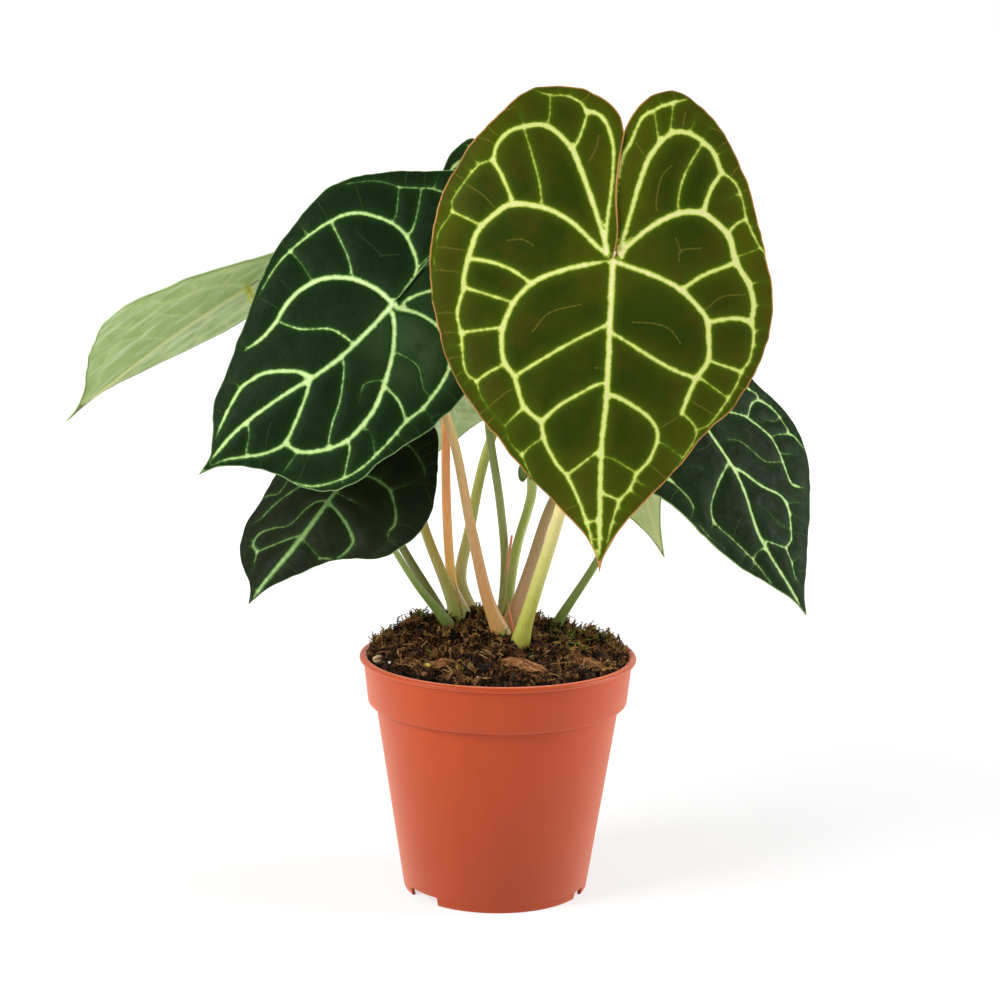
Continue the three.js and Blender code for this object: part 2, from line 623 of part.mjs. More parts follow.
    petiole: {
      path: [[24.3, 26, 107.8], [42.6, 22, 140.2], [60.7, 14, 178.9]],
      radii: [2, 1.9, 1.7, 1.6, 1.6, 2],
      look: "green_petiole",
    },
  },
  evenLeaf({
    name: "top",
    joint: [-3.4, 12, 290.4],
    toward: [-1.7, 18, 224.2],
    face: [0, -0.98, 0.1],
    length: 66, width: 58, lobe: 35,
    curl: 14, foldLeft: 6, foldRight: 6, cup: 10, lobeCurl: 20, wave: [1, 5, 0],
    blade: "dark_blade",
    petiole: {
      path: [[2.8, 36, 115.5], [-0.3, 31, 157.3], [-4.8, 25, 198.3], [-6.5, 20, 250]],
      radii: [2, 1.9, 1.8, 1.7, 1.6, 1.9],
      look: "green_petiole",
    },
  }),
  evenLeaf({
    name: "back_left",
    joint: [-45, 62, 206],
    toward: [-36, 112, 174],
    face: [-0.1, 0.5, 0.85],
    length: 74, width: 76, lobe: 28,
    curl: 14, foldLeft: 6, foldRight: 6, cup: 8, lobeCurl: 8, wave: [1, 6, 30],
    blade: "pale_blade",
    petiole: {
      path: [[-16.5, 18.5, 113.2], [-34, 33, 155]],
      radii: [2.6, 2.4, 2.1, 1.9, 2.2],
      look: "green_petiole",
    },
  }),
  evenLeaf({
    name: "inner",
    joint: [15.3, 40, 179],
    toward: [24, 83, 174],
    face: [0.05, 0.2, 0.97],
    length: 46, width: 36, lobe: 15,
    curl: 8, foldLeft: -38, foldRight: -34, cup: -20, lobeCurl: -100, wave: [0.6, 5, 0],
    blade: "pale_blade",
    petiole: {
      path: [[4.4, 25, 114.5], [8.4, 30, 147]],
      radii: [2.6, 2.3, 2.2, 2.1, 2.3],
      look: "green_petiole",
    },
  }),
  evenLeaf({
    name: "back_right",
    joint: [52, 48, 209.1],
    toward: [74.8, 62, 134.6],
    face: [0.3, 0.85, 0.35],
    length: 80, width: 60, lobe: 34,
    curl: 12, foldLeft: 6, foldRight: 6, cup: 10, lobeCurl: 8, wave: [1, 6, 60],
    blade: "pale_blade",
    petiole: {
      path: [[6.4, 8, 112.7], [22.7, 20, 169.3]],
      radii: [2.9, 2.8, 2.6, 2.3, 2.1, 2.4],
      look: "tan_petiole",
    },
  }),
  evenLeaf({
    name: "back",
    joint: [19, 58, 250],
    toward: [30, 124, 205],
    face: [0.05, 0.5, 0.85],
    length: 82, width: 68, lobe: 36,
    curl: 18, foldLeft: 6, foldRight: 6, cup: 10, lobeCurl: 10, wave: [1, 6, 90],
    blade: "pale_blade",
    petiole: {
      path: [[-10.5, 30, 114], [-15, 36, 136.5], [-4.8, 44, 190]],
      radii: [2.5, 2.6, 2.3, 2.1, 2, 2.3],
      look: "green_petiole",
    },
  }),
  evenLeaf({
    name: "high_back",
    joint: [-18, 50, 268],
    toward: [-58, 100, 234],
    face: [-0.3, 0.4, 0.86],
    length: 72, width: 62, lobe: 28,
    curl: 18, foldLeft: 6, foldRight: 6, cup: 10, lobeCurl: 10, wave: [1, 6, 150],
    blade: "pale_blade",
    petiole: {
      path: [[-17.5, 33, 114.5], [-22.6, 27, 157], [-24, 24, 192], [-23.5, 29, 232]],
      radii: [2.2, 2.1, 2, 1.9, 1.8, 2.1],
      look: "salmon_petiole",
    },
  }),
];

// Sheaths of leaves that have opened, drying at the petioles' feet.
const SHEATHS = [
  {
    name: "sheath_pink",
    path: [[-1, 18, 106], [0, 18, 118], [4.5, 17, 150]],
    radii: [1.6, 1.4, 0.4],
    look: "pink",
  },
  {
    name: "sheath_straw",
    path: [[-7, 19, 104], [-9, 19.5, 114], [-13.8, 21, 133]],
    radii: [1.6, 1.3, 0.4],
    look: "straw",
  },
];

makePot();
const stalks = [
  ...LEAVES.map((leaf) => ({
    name: `petiole_${leaf.name}`,
    rings: petioleRings(leaf),
    look: leaf.petiole.look,
  })),
  ...SHEATHS.map(({ name, path, radii, look }) => ({
    name,
    rings: stalkRings(path.map(vector), radii),
    look,
  })),
];
makeSoil(stalks);
for (const { name, rings, look } of stalks) {
  addMesh(name, barOfRings(rings, PETIOLE_SIDES), MATERIALS[look]);
}
for (const leaf of LEAVES) {
  addMesh(`blade_${leaf.name}`, bladeGeometry(leaf), MATERIALS[leaf.blade]);
}

export default root;
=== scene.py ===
import math
import random

import bpy
from mathutils import Matrix, Vector, geometry, kdtree, noise


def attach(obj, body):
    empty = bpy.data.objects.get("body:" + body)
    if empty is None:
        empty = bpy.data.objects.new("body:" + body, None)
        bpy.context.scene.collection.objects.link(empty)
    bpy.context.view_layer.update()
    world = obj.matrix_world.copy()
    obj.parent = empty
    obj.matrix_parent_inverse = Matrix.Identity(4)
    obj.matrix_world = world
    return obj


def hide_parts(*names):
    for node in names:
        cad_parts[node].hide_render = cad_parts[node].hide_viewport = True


# A potted Anthurium clarinervium. Lengths in this script are in millimetres, as on the plant, and each
# mesh is brought to metres as it is made.
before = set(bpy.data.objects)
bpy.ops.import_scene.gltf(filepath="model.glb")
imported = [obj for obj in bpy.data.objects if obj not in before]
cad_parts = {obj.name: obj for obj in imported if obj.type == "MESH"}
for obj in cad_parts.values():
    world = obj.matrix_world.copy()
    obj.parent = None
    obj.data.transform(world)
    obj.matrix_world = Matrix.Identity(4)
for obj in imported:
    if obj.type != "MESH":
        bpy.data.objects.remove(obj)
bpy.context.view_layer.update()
bpy.ops.object.select_all(action="DESELECT")
MM = 0.001


# ---- Stage, light and camera ----
# A white table under a large soft box at the front left, with white walls all round that fill the
# shadows, as in a product studio. The table glows with painted light, faintest near the pot so that its
# shadow shows.

def linear(code):
    """An sRGB hex colour as linear red, green, blue and alpha."""
    shares = [int(code[i:i + 2], 16) / 255 for i in (1, 3, 5)]
    return (*[s / 12.92 if s <= 0.04045 else ((s + 0.055) / 1.055) ** 2.4 for s in shares], 1)


def node(tree, kind, settings=None, links=None):
    """Adds a shader node, or takes one that is there. Sets its properties, inputs and colour stops, and links
    its inputs to other nodes: to their first output, or to the one that is named with them."""
    added = tree.nodes.new("ShaderNode" + kind) if isinstance(kind, str) else kind
    for key, value in (settings or {}).items():
        if key == "stops":
            ramp = added.color_ramp.elements
            for position, code in value[1:-1]:
                ramp.new(position).color = linear(code)
            for end in (0, -1):
                ramp[end].position, ramp[end].color = value[end][0], linear(value[end][1])
        elif isinstance(key, int) or key in added.inputs:
            added.inputs[key].default_value = linear(value) if isinstance(value, str) else value
        else:
            setattr(added, key, value)
    for key, source in (links or {}).items():
        source, output = source if isinstance(source, tuple) else (source, 0)
        tree.links.new(source.outputs[output], added.inputs[key])
    return added


def new_material(name):
    """A material with a bare Principled shader on its output. Returns the material, its tree and shader."""
    material = bpy.data.materials.new(name)
    material.use_nodes = True
    material.node_tree.nodes.clear()
    shader = node(material.node_tree, "BsdfPrincipled")
    node(material.node_tree, "OutputMaterial", links={"Surface": shader})
    return material, material.node_tree, shader


bpy.context.scene.view_settings.view_transform = "Standard"
studio = bpy.data.worlds.new("white_studio")
studio.use_nodes = True
bpy.context.scene.world = studio
tree = studio.node_tree
heading = node(tree, "TexCoord")
height = node(tree, "SeparateXYZ", links={0: (heading, "Generated")})
fade = node(tree, "MapRange", {"From Min": 0.1, "From Max": 0.5, "To Min": 1, "To Max": 0.4},
            {"Value": (height, "Z")})
node(tree, tree.nodes["Background"], {"Color": (1, 1, 1, 1)}, {"Strength": fade})

bpy.ops.mesh.primitive_plane_add(size=80)
table = bpy.context.object
table.name = "table"
table_paint, tree, shader = new_material("glowing_white_table")
spot = node(tree, "TexCoord")
away = node(tree, "VectorMath", {"operation": "LENGTH"}, {0: (spot, "Object")})
# Painted light: the table's glow is 0.68 within 0.3 m of the pot and rises to 1 at 0.7 m out.
glow = node(tree, "MapRange", {"From Min": 0.3, "From Max": 0.7, "To Min": 0.68}, {"Value": (away, "Value")})
node(tree, shader, {"Base Color": "#979797", "Roughness": 0.9, "Specular IOR Level": 0,
                    "Emission Color": (1, 1, 1, 1)}, {"Emission Strength": glow})
table.data.materials.append(table_paint)

# Each lamp: name, place and size in metres, and power in watts.
LIGHTS = [("soft_box", (-1.5, -0.9, 1.1), 1.0, 46), ("side_panel", (1.6, 0.1, 0.6), 0.9, 26)]
for name, place, size, power in LIGHTS:
    bpy.ops.object.light_add(type="AREA", location=place)
    lamp = bpy.context.object
    lamp.name = name
    lamp.data.size = size
    lamp.data.energy = power
    lamp.rotation_euler = (Vector((0, 0, 0.18)) - lamp.location).to_track_quat("-Z", "Y").to_euler()

# Degrees by which the camera looks down and is rolled.
DIP = 10.25
ROLL = 0.76
bpy.ops.object.camera_add(location=(0, -1.030, 0.358))
camera = bpy.context.object
camera.matrix_world = (
    Matrix.Translation(camera.location)
    @ Matrix.Rotation(math.radians(90 - DIP), 4, "X")
    @ Matrix.Rotation(math.radians(ROLL), 4, "Z")
)
camera.data.lens = 87.84
camera.data.sensor_width = 36
bpy.context.scene.camera = camera


# ---- Pot ----
# A nursery pot of the 12 cm size, moulded in one shot from terracotta-coloured polypropylene about
# 1.5 mm thick. It has a rolled lip, a stiffening collar, water notches in its foot and drain holes.
POT_SIDES = 128
FLOOR = 4
WALL = 1.5
FOOT_RADIUS = 40
BODY_TOP = (52.6, 81.4)


def body_radius(height):
    """The outer radius of the tapered body."""
    return FOOT_RADIUS + (BODY_TOP[0] - FOOT_RADIUS) * height / BODY_TOP[1]


POT_RINGS = [
    (15, 0), (16.2, FLOOR), (body_radius(FLOOR) - WALL, FLOOR), (38.2, 0.3), (38.7, 0), (39.3, 0),
    (39.8, 0.3), (40.1, 1), (40.45, 3.2), (40.42, 3.5), (40.52, 3.8), (40.66, 4.2), BODY_TOP,
    (52.75, 82.5), (53.3, 83.2), (55.3, 83.4), (55.95, 83.7), (56.25, 84.4), (58.15, 101.4), (58.5, 101.8),
    (59.3, 101.9), (59.8, 102.3), (60, 102.9), (59.85, 103.5), (59.4, 103.9), (58.6, 104),
    (57.4, 104), (56.9, 103.7), (56.7, 103), (54.75, 84.9), (53.8, 84.4), (51.9, 84), (51.1, 83),
    (body_radius(6) - WALL, 6), (body_radius(5.5) - 2, 5.5), (14.7, 5.5), (13.5, 1.5), (1, 1.5),
]
DRAIN_HOLES = 8
DRAIN_HOLE_RADIUS = 4
DRAIN_CIRCLE = 26
# Each notch: where it stands round the foot in degrees, its width and its height.
FOOT_NOTCHES = [(-50.5, 18, 4), (64, 7.5, 3.4), (98, 7.5, 3.4), (190, 18, 4)]


def raise_ring(radius, height, before):
    """Draws the selected loop of edges on to a new ring about the upright axis."""
    bpy.ops.mesh.extrude_edges_move(TRANSFORM_OT_translate={"value": (0, 0, (height - before[1]) * MM)})
    scale = radius / before[0]
    bpy.ops.transform.resize(value=(scale, scale, 1), center_override=(0, 0, height * MM))


def pick(piece):
    """Makes a piece the active one and the only one selected."""
    bpy.ops.object.select_all(action="DESELECT")
    bpy.context.view_layer.objects.active = piece
    piece.select_set(True)


def face_outwards():
    """Turns all faces of the mesh in edit mode outwards and leaves edit mode."""
    bpy.ops.mesh.select_all(action="SELECT")
    bpy.ops.mesh.normals_make_consistent(inside=False)
    bpy.ops.object.mode_set(mode="OBJECT")


def carve(target, cutters):
    """Takes each cutter out of the target and deletes it."""
    for cutter in cutters:
        cut = target.modifiers.new("cut", "BOOLEAN")
        cut.object = cutter
        pick(target)
        bpy.ops.object.modifier_apply(modifier=cut.name)
        bpy.data.objects.remove(cutter)


def turned(name, sides, rings):
    """A closed round body, raised ring by ring from the middle of its underside."""
    bpy.ops.object.select_all(action="DESELECT")
    first = rings[0]
    bpy.ops.mesh.primitive_circle_add(
        vertices=sides, radius=first[0] * MM, fill_type="NGON", location=(0, 0, first[1] * MM)
    )
    body = bpy.context.object
    body.name = name
    bpy.ops.object.transform_apply(location=True)
    bpy.ops.object.mode_set(mode="EDIT")
    bpy.ops.mesh.select_all(action="SELECT")
    bpy.ops.mesh.select_mode(type="EDGE")
    bpy.ops.mesh.region_to_loop()
    for before, ring in zip(rings, rings[1:]):
        raise_ring(*ring, before)
    bpy.ops.mesh.edge_face_add()
    face_outwards()
    return body


pot = turned("nursery_pot", POT_SIDES, POT_RINGS)
cutters = []
for degrees, width, height in FOOT_NOTCHES:
    turn = math.radians(degrees)
    place = Vector((math.sin(turn), -math.cos(turn), 0)) * FOOT_RADIUS * MM
    bpy.ops.mesh.primitive_cube_add(
        size=MM, location=place, rotation=(0, 0, turn), scale=(width, 12, 2 * height)
    )
    cutter = bpy.context.object
    bpy.ops.object.transform_apply(location=True, rotation=True, scale=True)
    edge = cutter.modifiers.new("edge", "BEVEL")
    edge.width = 0.8 * MM
    edge.segments = 3
    bpy.ops.object.modifier_apply(modifier=edge.name)
    cutters.append(cutter)
for i in range(DRAIN_HOLES):
    turn = math.radians(360 / DRAIN_HOLES * (i + 0.5))
    place = Vector((DRAIN_CIRCLE * math.cos(turn), DRAIN_CIRCLE * math.sin(turn), FLOOR + 1)) * MM
    bpy.ops.mesh.primitive_cylinder_add(
        vertices=24, radius=DRAIN_HOLE_RADIUS * MM, depth=6 * MM, location=place
    )
    bpy.ops.object.transform_apply(location=True)
    cutters.append(bpy.context.object)
carve(pot, cutters)
bpy.ops.object.shade_smooth_by_angle(angle=math.radians(32))

# Polypropylene, injection-moulded: satin, opaque and evenly coloured, with the faint streaks and orange
# peel of the mould. The colour is darkened towards the foot as painted shade, and a soft sheen makes it
# milkier at the slants.
moulded_plastic, tree, shader = new_material("terracotta_polypropylene")
place = node(tree, "TexCoord")
streaks = node(tree, "Mapping", {"Scale": (1, 1, 0.12)}, {"Vector": (place, "Object")})
flow = node(tree, "TexNoise", {"Scale": 60, "Detail": 3}, {"Vector": streaks})
tint = node(tree, "ValToRGB", {"stops": [(0.3, "#9A3404"), (0.7, "#A23706")]}, {"Fac": (flow, "Fac")})
peel = node(tree, "TexNoise", {"Scale": 900, "Detail": 2}, {"Vector": (place, "Object")})
skin = node(tree, "Bump", {"Strength": 0.05, "Distance": 0.0002}, {"Height": (peel, "Fac")})
gloss = node(tree, "MapRange", {"To Min": 0.36, "To Max": 0.44}, {"Value": (flow, "Fac")})
level = node(tree, "SeparateXYZ", links={0: (place, "Object")})
# Painted shade: the colour darkens over the lowest 80 mm, down to 0.8 at the foot.
painted_foot_shade = node(tree, "MapRange", {"From Max": 0.08, "To Min": 0.8}, {"Value": (level, "Z")})
tint_with_painted_shade = node(tree, "VectorMath", {"operation": "SCALE"}, {0: tint, "Scale": painted_foot_shade})
node(tree, shader, {"IOR": 1.49, "Specular IOR Level": 0.3, "Sheen Weight": 0.75, "Sheen Roughness": 0.5,
                    "Sheen Tint": "#FF9F7E"}, {"Base Color": tint_with_painted_shade, "Roughness": gloss, "Normal": skin})
pot.data.materials.clear()
pot.data.materials.append(moulded_plastic)
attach(pot, "root")
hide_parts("pot")


# ---- Potting mix ----
# Damp peat with coir, heaped round the crown of the plant in crumbly clumps with dark hollows between
# them. It fills the pot to its rim.
SOIL_EDGE = 55.9
SOIL_SIDES = 180
SOIL_STEPS = 46
SOIL_TOP = 101
CLUMP_TRIES = 6000


def tree_of(points):
    """A search tree over flat points."""
    tree = kdtree.KDTree(len(points))
    for i, point in enumerate(points):
        tree.insert((point.x, point.y, 0), i)
    tree.balance()
    return tree


# Each clump: its middle, its radius and its height.
CLUMPS = []
dice = random.Random(11)
for _ in range(CLUMP_TRIES):
    reach, angle = 53.5 * math.sqrt(dice.random()), dice.uniform(0, 2 * math.pi)
    spot = Vector((reach * math.cos(angle), reach * math.sin(angle)))
    if all((spot - other).length > 8.2 for other, _, _ in CLUMPS):
        CLUMPS.append((spot, dice.uniform(4.8, 7), dice.uniform(2.6, 5.6)))
clump_tree = tree_of([spot for spot, _, _ in CLUMPS])


def dome(x, y):
    """How high a clump stands over the gaps between clumps at a place, from 0."""
    best = 0
    for _, i, away in clump_tree.find_n((x, y, 0), 4):
        _, radius, height = CLUMPS[i]
        best = max(best, height * max(0, 1 - (away / radius) ** 2) ** 0.55)
    return best


def soil_height(x, y):
    """The heap's surface: a low mound behind the middle, broken into clumps."""
    mound = 12 * math.exp(-(((x + 8) / 38) ** 2) - ((y - 18) / 34) ** 2)
    slope = 2.2 + 1.2 * (y + 58.2) / 116.4
    lumps = 1.2 * noise.noise(Vector((x, y, 9)) / 5) + 0.8 * noise.noise(Vector((x, y, 5)) / 2.2)
    edge = min(1, max(0, math.hypot(x, y) - 50) / 6)
    return 99 + slope + mound + lumps * (1 - 0.5 * edge) + dome(x, y) * (1 - 0.35 * edge)


soil = turned("potting_mix", SOIL_SIDES, [
    (13, 1.9), (14.3, 5.9), (38.6, 5.9), (50.6, 83.3), (54.2, 85.3), (SOIL_EDGE, 98),
    *[(SOIL_EDGE * (1 - i / SOIL_STEPS), SOIL_TOP) for i in range(SOIL_STEPS)],
])
for vertex in soil.data.vertices:
    if vertex.co.z > (SOIL_TOP - 0.5) * MM:
        vertex.co.z = soil_height(vertex.co.x / MM, vertex.co.y / MM) * MM
bpy.ops.object.shade_smooth()

# Peat: nearly black where its grain lies low between the crumbs, and brown where it stands high.
peat, tree, shader = new_material("damp_peat")
place = node(tree, "TexCoord")
grain = node(tree, "TexNoise", {"Scale": 420, "Detail": 6, "Roughness": 0.7}, {"Vector": (place, "Object")})
browns = [(0, "#080503"), (0.4, "#0B0704"), (0.52, "#1E130A"), (0.62, "#33210F"), (0.72, "#4E3519"),
          (1, "#6A4C28")]
earth = node(tree, "ValToRGB", {"stops": browns}, {"Fac": (grain, "Fac")})
crumbs = node(tree, "Bump", {"Strength": 0.8, "Distance": 0.0012}, {"Height": (grain, "Fac")})
node(tree, shader, {"Roughness": 0.95, "Specular IOR Level": 0.1}, {"Base Color": earth, "Normal": crumbs})
soil.data.materials.clear()
soil.data.materials.append(peat)
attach(soil, "root")
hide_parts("soil")


# ---- Moss, fibres and crumbs on the soil ----
# Feather moss in tan, olive and a little fresh green covers the heap, with loose coir fibres, chunks of
# coconut husk, crumbs of peat, pebbles and grains of perlite. They lie on the soil or grow from it.
SHOOTS_ON_A_CLUMP = 26
LOOSE_SHOOTS = 420
SHOOTS_IN_A_TUFT = 9
LOOSE_FIBRES = 460
FIBRES_IN_A_HUSK = 130
CRUMBS = 1500
# Where the stalks stand.
FEET = [(9, -6), (2, 1), (-24, 25), (-20, 10), (24, 26), (3, 36), (-16, 18), (4, 25), (6, 8), (-12, 30),
        (-17, 33)]


def limb(points, radii, sides=3):
    """A thin closed tube through a few points, as corners and faces."""
    corners = []
    last = len(points) - 1
    for i, (point, radius) in enumerate(zip(points, radii)):
        aim = (points[min(i + 1, last)] - points[max(i - 1, 0)]).normalized()
        side = aim.cross(Vector((0.31, 0.9, 0.17))).normalized()
        other = aim.cross(side)
        for j in range(sides):
            angle = 2 * math.pi * j / sides
            corners.append(point + (side * math.cos(angle) + other * math.sin(angle)) * radius)
    faces = [list(range(sides))[::-1], [last * sides + j for j in range(sides)]]
    for i in range(last):
        for j in range(sides):
            k = (j + 1) % sides
            faces.append([i * sides + j, i * sides + k, (i + 1) * sides + k, (i + 1) * sides + j])
    return corners, faces


def spike(root, tip, width):
    """A pointed leaflet or splinter, as corners and faces."""
    aim = tip - root
    side = aim.cross(Vector((0.21, 0.13, 0.97))).normalized() * width
    keel = side.cross(aim).normalized() * width * 0.5
    return [root + side, root - side, root + keel, tip], [[0, 2, 1], [0, 1, 3], [1, 2, 3], [2, 0, 3]]


def joined(shapes):
    """Several shapes as one list of corners and one of faces."""
    corners = []
    faces = []
    for more_corners, more_faces in shapes:
        start = len(corners)
        corners.extend(more_corners)
        faces.extend([start + i for i in face] for face in more_faces)
    return corners, faces


def moss_sprig(dice, leaflets):
    """A curved moss shoot 5 mm long, with leaflets all round it."""
    bend = dice.uniform(1.2, 3.4)
    sway = dice.uniform(0, 6)
    stem = [Vector((bend * t * t, 0.9 * math.sin(4.5 * t + sway), 3.8 * t)) for t in (0, 0.35, 0.7, 1)]
    parts = [limb(stem, (0.34, 0.3, 0.2, 0.06))]
    for k in range(leaflets):
        t = (k + 1) / (leaflets + 1) * 2.9
        root = stem[int(t)].lerp(stem[min(int(t) + 1, 3)], t % 1)
        turn = 2.4 * k
        out = Vector((math.cos(turn), math.sin(turn), 0.5)) * dice.uniform(0.8, 1.5) * (1.15 - 0.2 * t)
        parts.append(spike(root, root + out, 0.42))
    return joined(parts)


def ball(subdivisions):
    """A ball 1 mm in radius, as corners and faces."""
    bpy.ops.mesh.primitive_ico_sphere_add(subdivisions=subdivisions, radius=1)
    grain = bpy.context.object
    shape = [v.co.copy() for v in grain.data.vertices], [list(face.vertices) for face in grain.data.polygons]
    bpy.data.objects.remove(grain)
    return shape


def crumb_shape(dice):
    """A knobbly grain 1 mm in radius."""
    corners, faces = ball(1)
    return [corner * dice.uniform(0.65, 1.15) for corner in corners], faces


def curl(dice, length, radius):
    """A loose curly fibre, as corners and faces, lying near the level."""
    heading = dice.uniform(0, 6.28)
    turn = dice.uniform(-1.1, 1.1)
    lift = dice.uniform(0.2, 0.7)
    points = [Vector((0, 0, 0))]
    for i in range(6):
        heading += turn * 0.5
        slope = lift * (1 - i / 2.2)
        points.append(points[-1] + Vector((math.cos(heading), math.sin(heading), slope)) * length / 6)
    return limb(points, (radius * 0.5, radius, radius, radius, radius, radius * 0.8, radius * 0.3))


def new_piece(name, corners, faces):
    """A piece of the scene from its corners and faces."""
    mesh = bpy.data.meshes.new(name)
    mesh.from_pydata(corners, [], faces)
    piece = bpy.data.objects.new(name, mesh)
    bpy.context.collection.objects.link(piece)
    return piece


def strew(name, copies, material):
    """One piece from many copies of small shapes, with each copy's shade of colour in "tone"."""
    placed = [([matrix @ corner * MM for corner in corners], faces) for (corners, faces), matrix, _ in copies]
    piece = new_piece(name, *joined(placed))
    tones = [tone for (corners, _), _, tone in copies for _ in corners]
    piece.data.attributes.new("tone", "FLOAT", "POINT").data.foreach_set("value", tones)
    piece.data.materials.append(material)
    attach(piece, "root")


def strewn_finish(name, stops, rough=0.85):
    """A dull plant material whose colour is picked for each copy."""
    material, tree, shader = new_material(name)
    place = node(tree, "TexCoord")
    tone = node(tree, "Attribute", {"attribute_name": "tone"})
    fleck = node(tree, "TexNoise", {"Scale": 900, "Detail": 3}, {"Vector": (place, "Object")})
    shift = node(tree, "MapRange", {"From Min": 0.3, "From Max": 0.7, "To Min": -0.1, "To Max": 0.1},
                 {"Value": (fleck, "Fac")})
    spot = node(tree, "Math", {"operation": "ADD"}, {0: (tone, "Fac"), 1: shift})
    ramp = node(tree, "ValToRGB", {"stops": stops}, {"Fac": spot})
    node(tree, shader, {"Roughness": rough, "Specular IOR Level": 0.25}, {"Base Color": ramp})
    return material


# Moss: dry tan and olive shoots, with fresh green ones where it stays damp.
moss_tissue = strewn_finish("feather_moss", [
    (0, "#140C06"), (0.18, "#301B0C"), (0.3, "#5E3418"), (0.4, "#6E4A20"), (0.54, "#A67E44"), (0.68, "#6E5E20"),
    (0.82, "#4A5E18"), (1, "#86AA3C"),
])
coir_fibre = strewn_finish("coir_fibre", [(0, "#54301A"), (0.5, "#8A5E32"), (1, "#C29A62")])
peat_crumb = strewn_finish("peat_crumb", [(0, "#0E0804"), (0.5, "#2E1D0E"), (0.8, "#4E341A"), (1, "#7A5630")])
husk_fibre = strewn_finish("coconut_husk", [(0, "#3E2212"), (0.5, "#774828"), (1, "#A9794C")])
stone = strewn_finish("pebble_and_perlite", [
    (0, "#8E7A5C"), (0.4, "#C2AA84"), (0.7, "#B8A030"), (1, "#EDE8DC"),
])
fresh_stem = strewn_finish("fresh_green_stem", [(0, "#4E6E2A"), (1, "#9CB87A")], 0.5)

dice = random.Random(27)


def ground_spot(reach=54.5):
    """A random place on the soil, clear of the stalks."""
    while True:
        radius = reach * math.sqrt(dice.random())
        angle = dice.uniform(0, 2 * math.pi)
        x, y = radius * math.cos(angle), radius * math.sin(angle)
        if all(math.hypot(x - fx, y - fy) > 3.4 for fx, fy in FEET):
            return x, y


def upright(x, y, lean, size, sink):
    """A place on the soil for a shape that grows along its own Z axis, leaning a random way."""
    spin = Matrix.Rotation(dice.uniform(0, 2 * math.pi), 4, "Z")
    tilt = Matrix.Rotation(lean, 4, Vector((dice.uniform(-1, 1), dice.uniform(-1, 1), 0.01)).normalized())
    return Matrix.Translation((x, y, soil_height(x, y) - sink)) @ tilt @ spin @ Matrix.Scale(size, 4)


def greenness(x, y):
    """Where the moss is fresh: in front of the crown and over to the right."""
    damp = 0
    for px, py, reach in ((10, -9, 8), (22, 0, 8), (30, 18, 12), (45, 16, 13), (-8, -4, 6), (-36, 20, 8)):
        damp = max(damp, math.exp(-((x - px) ** 2 + (y - py) ** 2) / reach ** 2))
    return damp


def over_dome(centre, radius, size):
    """A place on a clump for a shoot that points away from the clump's middle."""
    out = Vector((dice.gauss(0, 0.55), dice.gauss(0, 0.55)))
    if out.length > 1:
        out.normalize()
    spot = centre + out * radius
    x, y = spot * min(1, 54.2 / spot.length)
    aim = Vector((out.x * 1.5 + dice.gauss(0, 0.3), out.y * 1.5 + dice.gauss(0, 0.3), 0.75))
    turn = aim.to_track_quat("Z", "Y").to_matrix().to_4x4()
    spin = Matrix.Rotation(dice.uniform(0, 2 * math.pi), 4, "Z")
    return Matrix.Translation((x, y, soil_height(x, y) - 0.5)) @ turn @ spin @ Matrix.Scale(size, 4)


sprigs = [moss_sprig(dice, 10) for _ in range(8)]
copies = []
for centre, radius, height in CLUMPS:
    if any((centre - Vector(foot)).length < 4 for foot in FEET):
        continue
    fresh = greenness(*centre)
    mood = dice.gauss(0.4, 0.13)
    for _ in range(SHOOTS_ON_A_CLUMP):
        place = over_dome(centre, radius * 0.9, dice.uniform(0.5, 1.1))
        top = dome(place.translation.x, place.translation.y) / height
        # Shoots lower on their clump get darker tones: painted shade in the hollows between the clumps.
        tone = min(max(dice.gauss(mood, 0.1) - 0.3 * (1 - top), 0.02), 0.66)
        if fresh * dice.uniform(0.4, 1.15) > 0.55:
            tone = 0.66 + 0.34 * dice.random()
        copies.append((dice.choice(sprigs), place, tone))
for _ in range(LOOSE_SHOOTS):
    x, y = ground_spot(55)
    lean = abs(dice.gauss(1.15, 0.45))
    # Loose shoots lie low between the clumps and get darker tones: painted shade in the gaps.
    tone = min(max(dice.gauss(0.22, 0.14), 0.02), 0.66)
    copies.append((dice.choice(sprigs), upright(x, y, lean, dice.uniform(0.4, 0.9), 0.5), tone))
TUFTS = [(40, 28), (51, 8), (-48, 20), (17, 42), (-6, 46), (30, 36), (-36, 32), (-3, -22), (-26, -24), (45, -8),
         (-52, 2), (49, 20)]
for x, y in TUFTS:
    for _ in range(SHOOTS_IN_A_TUFT):
        sx, sy = x + dice.gauss(0, 1.6), y + dice.gauss(0, 1.6)
        tone = min(max(dice.gauss(0.42, 0.15), 0.05), 0.75)
        sprig = dice.choice(sprigs)
        copies.append((sprig, upright(sx, sy, dice.uniform(0.1, 0.7), dice.uniform(0.9, 1.5), 0.4), tone))
strew("moss", copies, moss_tissue)

copies = []
for _ in range(LOOSE_FIBRES):
    x, y = ground_spot(52)
    fibre = curl(dice, dice.uniform(3.5, 10), dice.uniform(0.1, 0.19))
    place = Matrix.Translation((x, y, soil_height(x, y) + dice.uniform(-0.2, 1.2)))
    copies.append((fibre, place, dice.uniform(0.1, 0.95)))
strew("loose_fibres", copies, coir_fibre)

copies = []
grains = [crumb_shape(dice) for _ in range(5)]
for _ in range(CRUMBS):
    x, y = ground_spot()
    place = upright(x, y, dice.uniform(0, 3), 0.5 + 1.4 * dice.random() ** 2, 0.2)
    copies.append((dice.choice(grains), place, dice.random() ** 1.6))
strew("peat_crumbs", copies, peat_crumb)

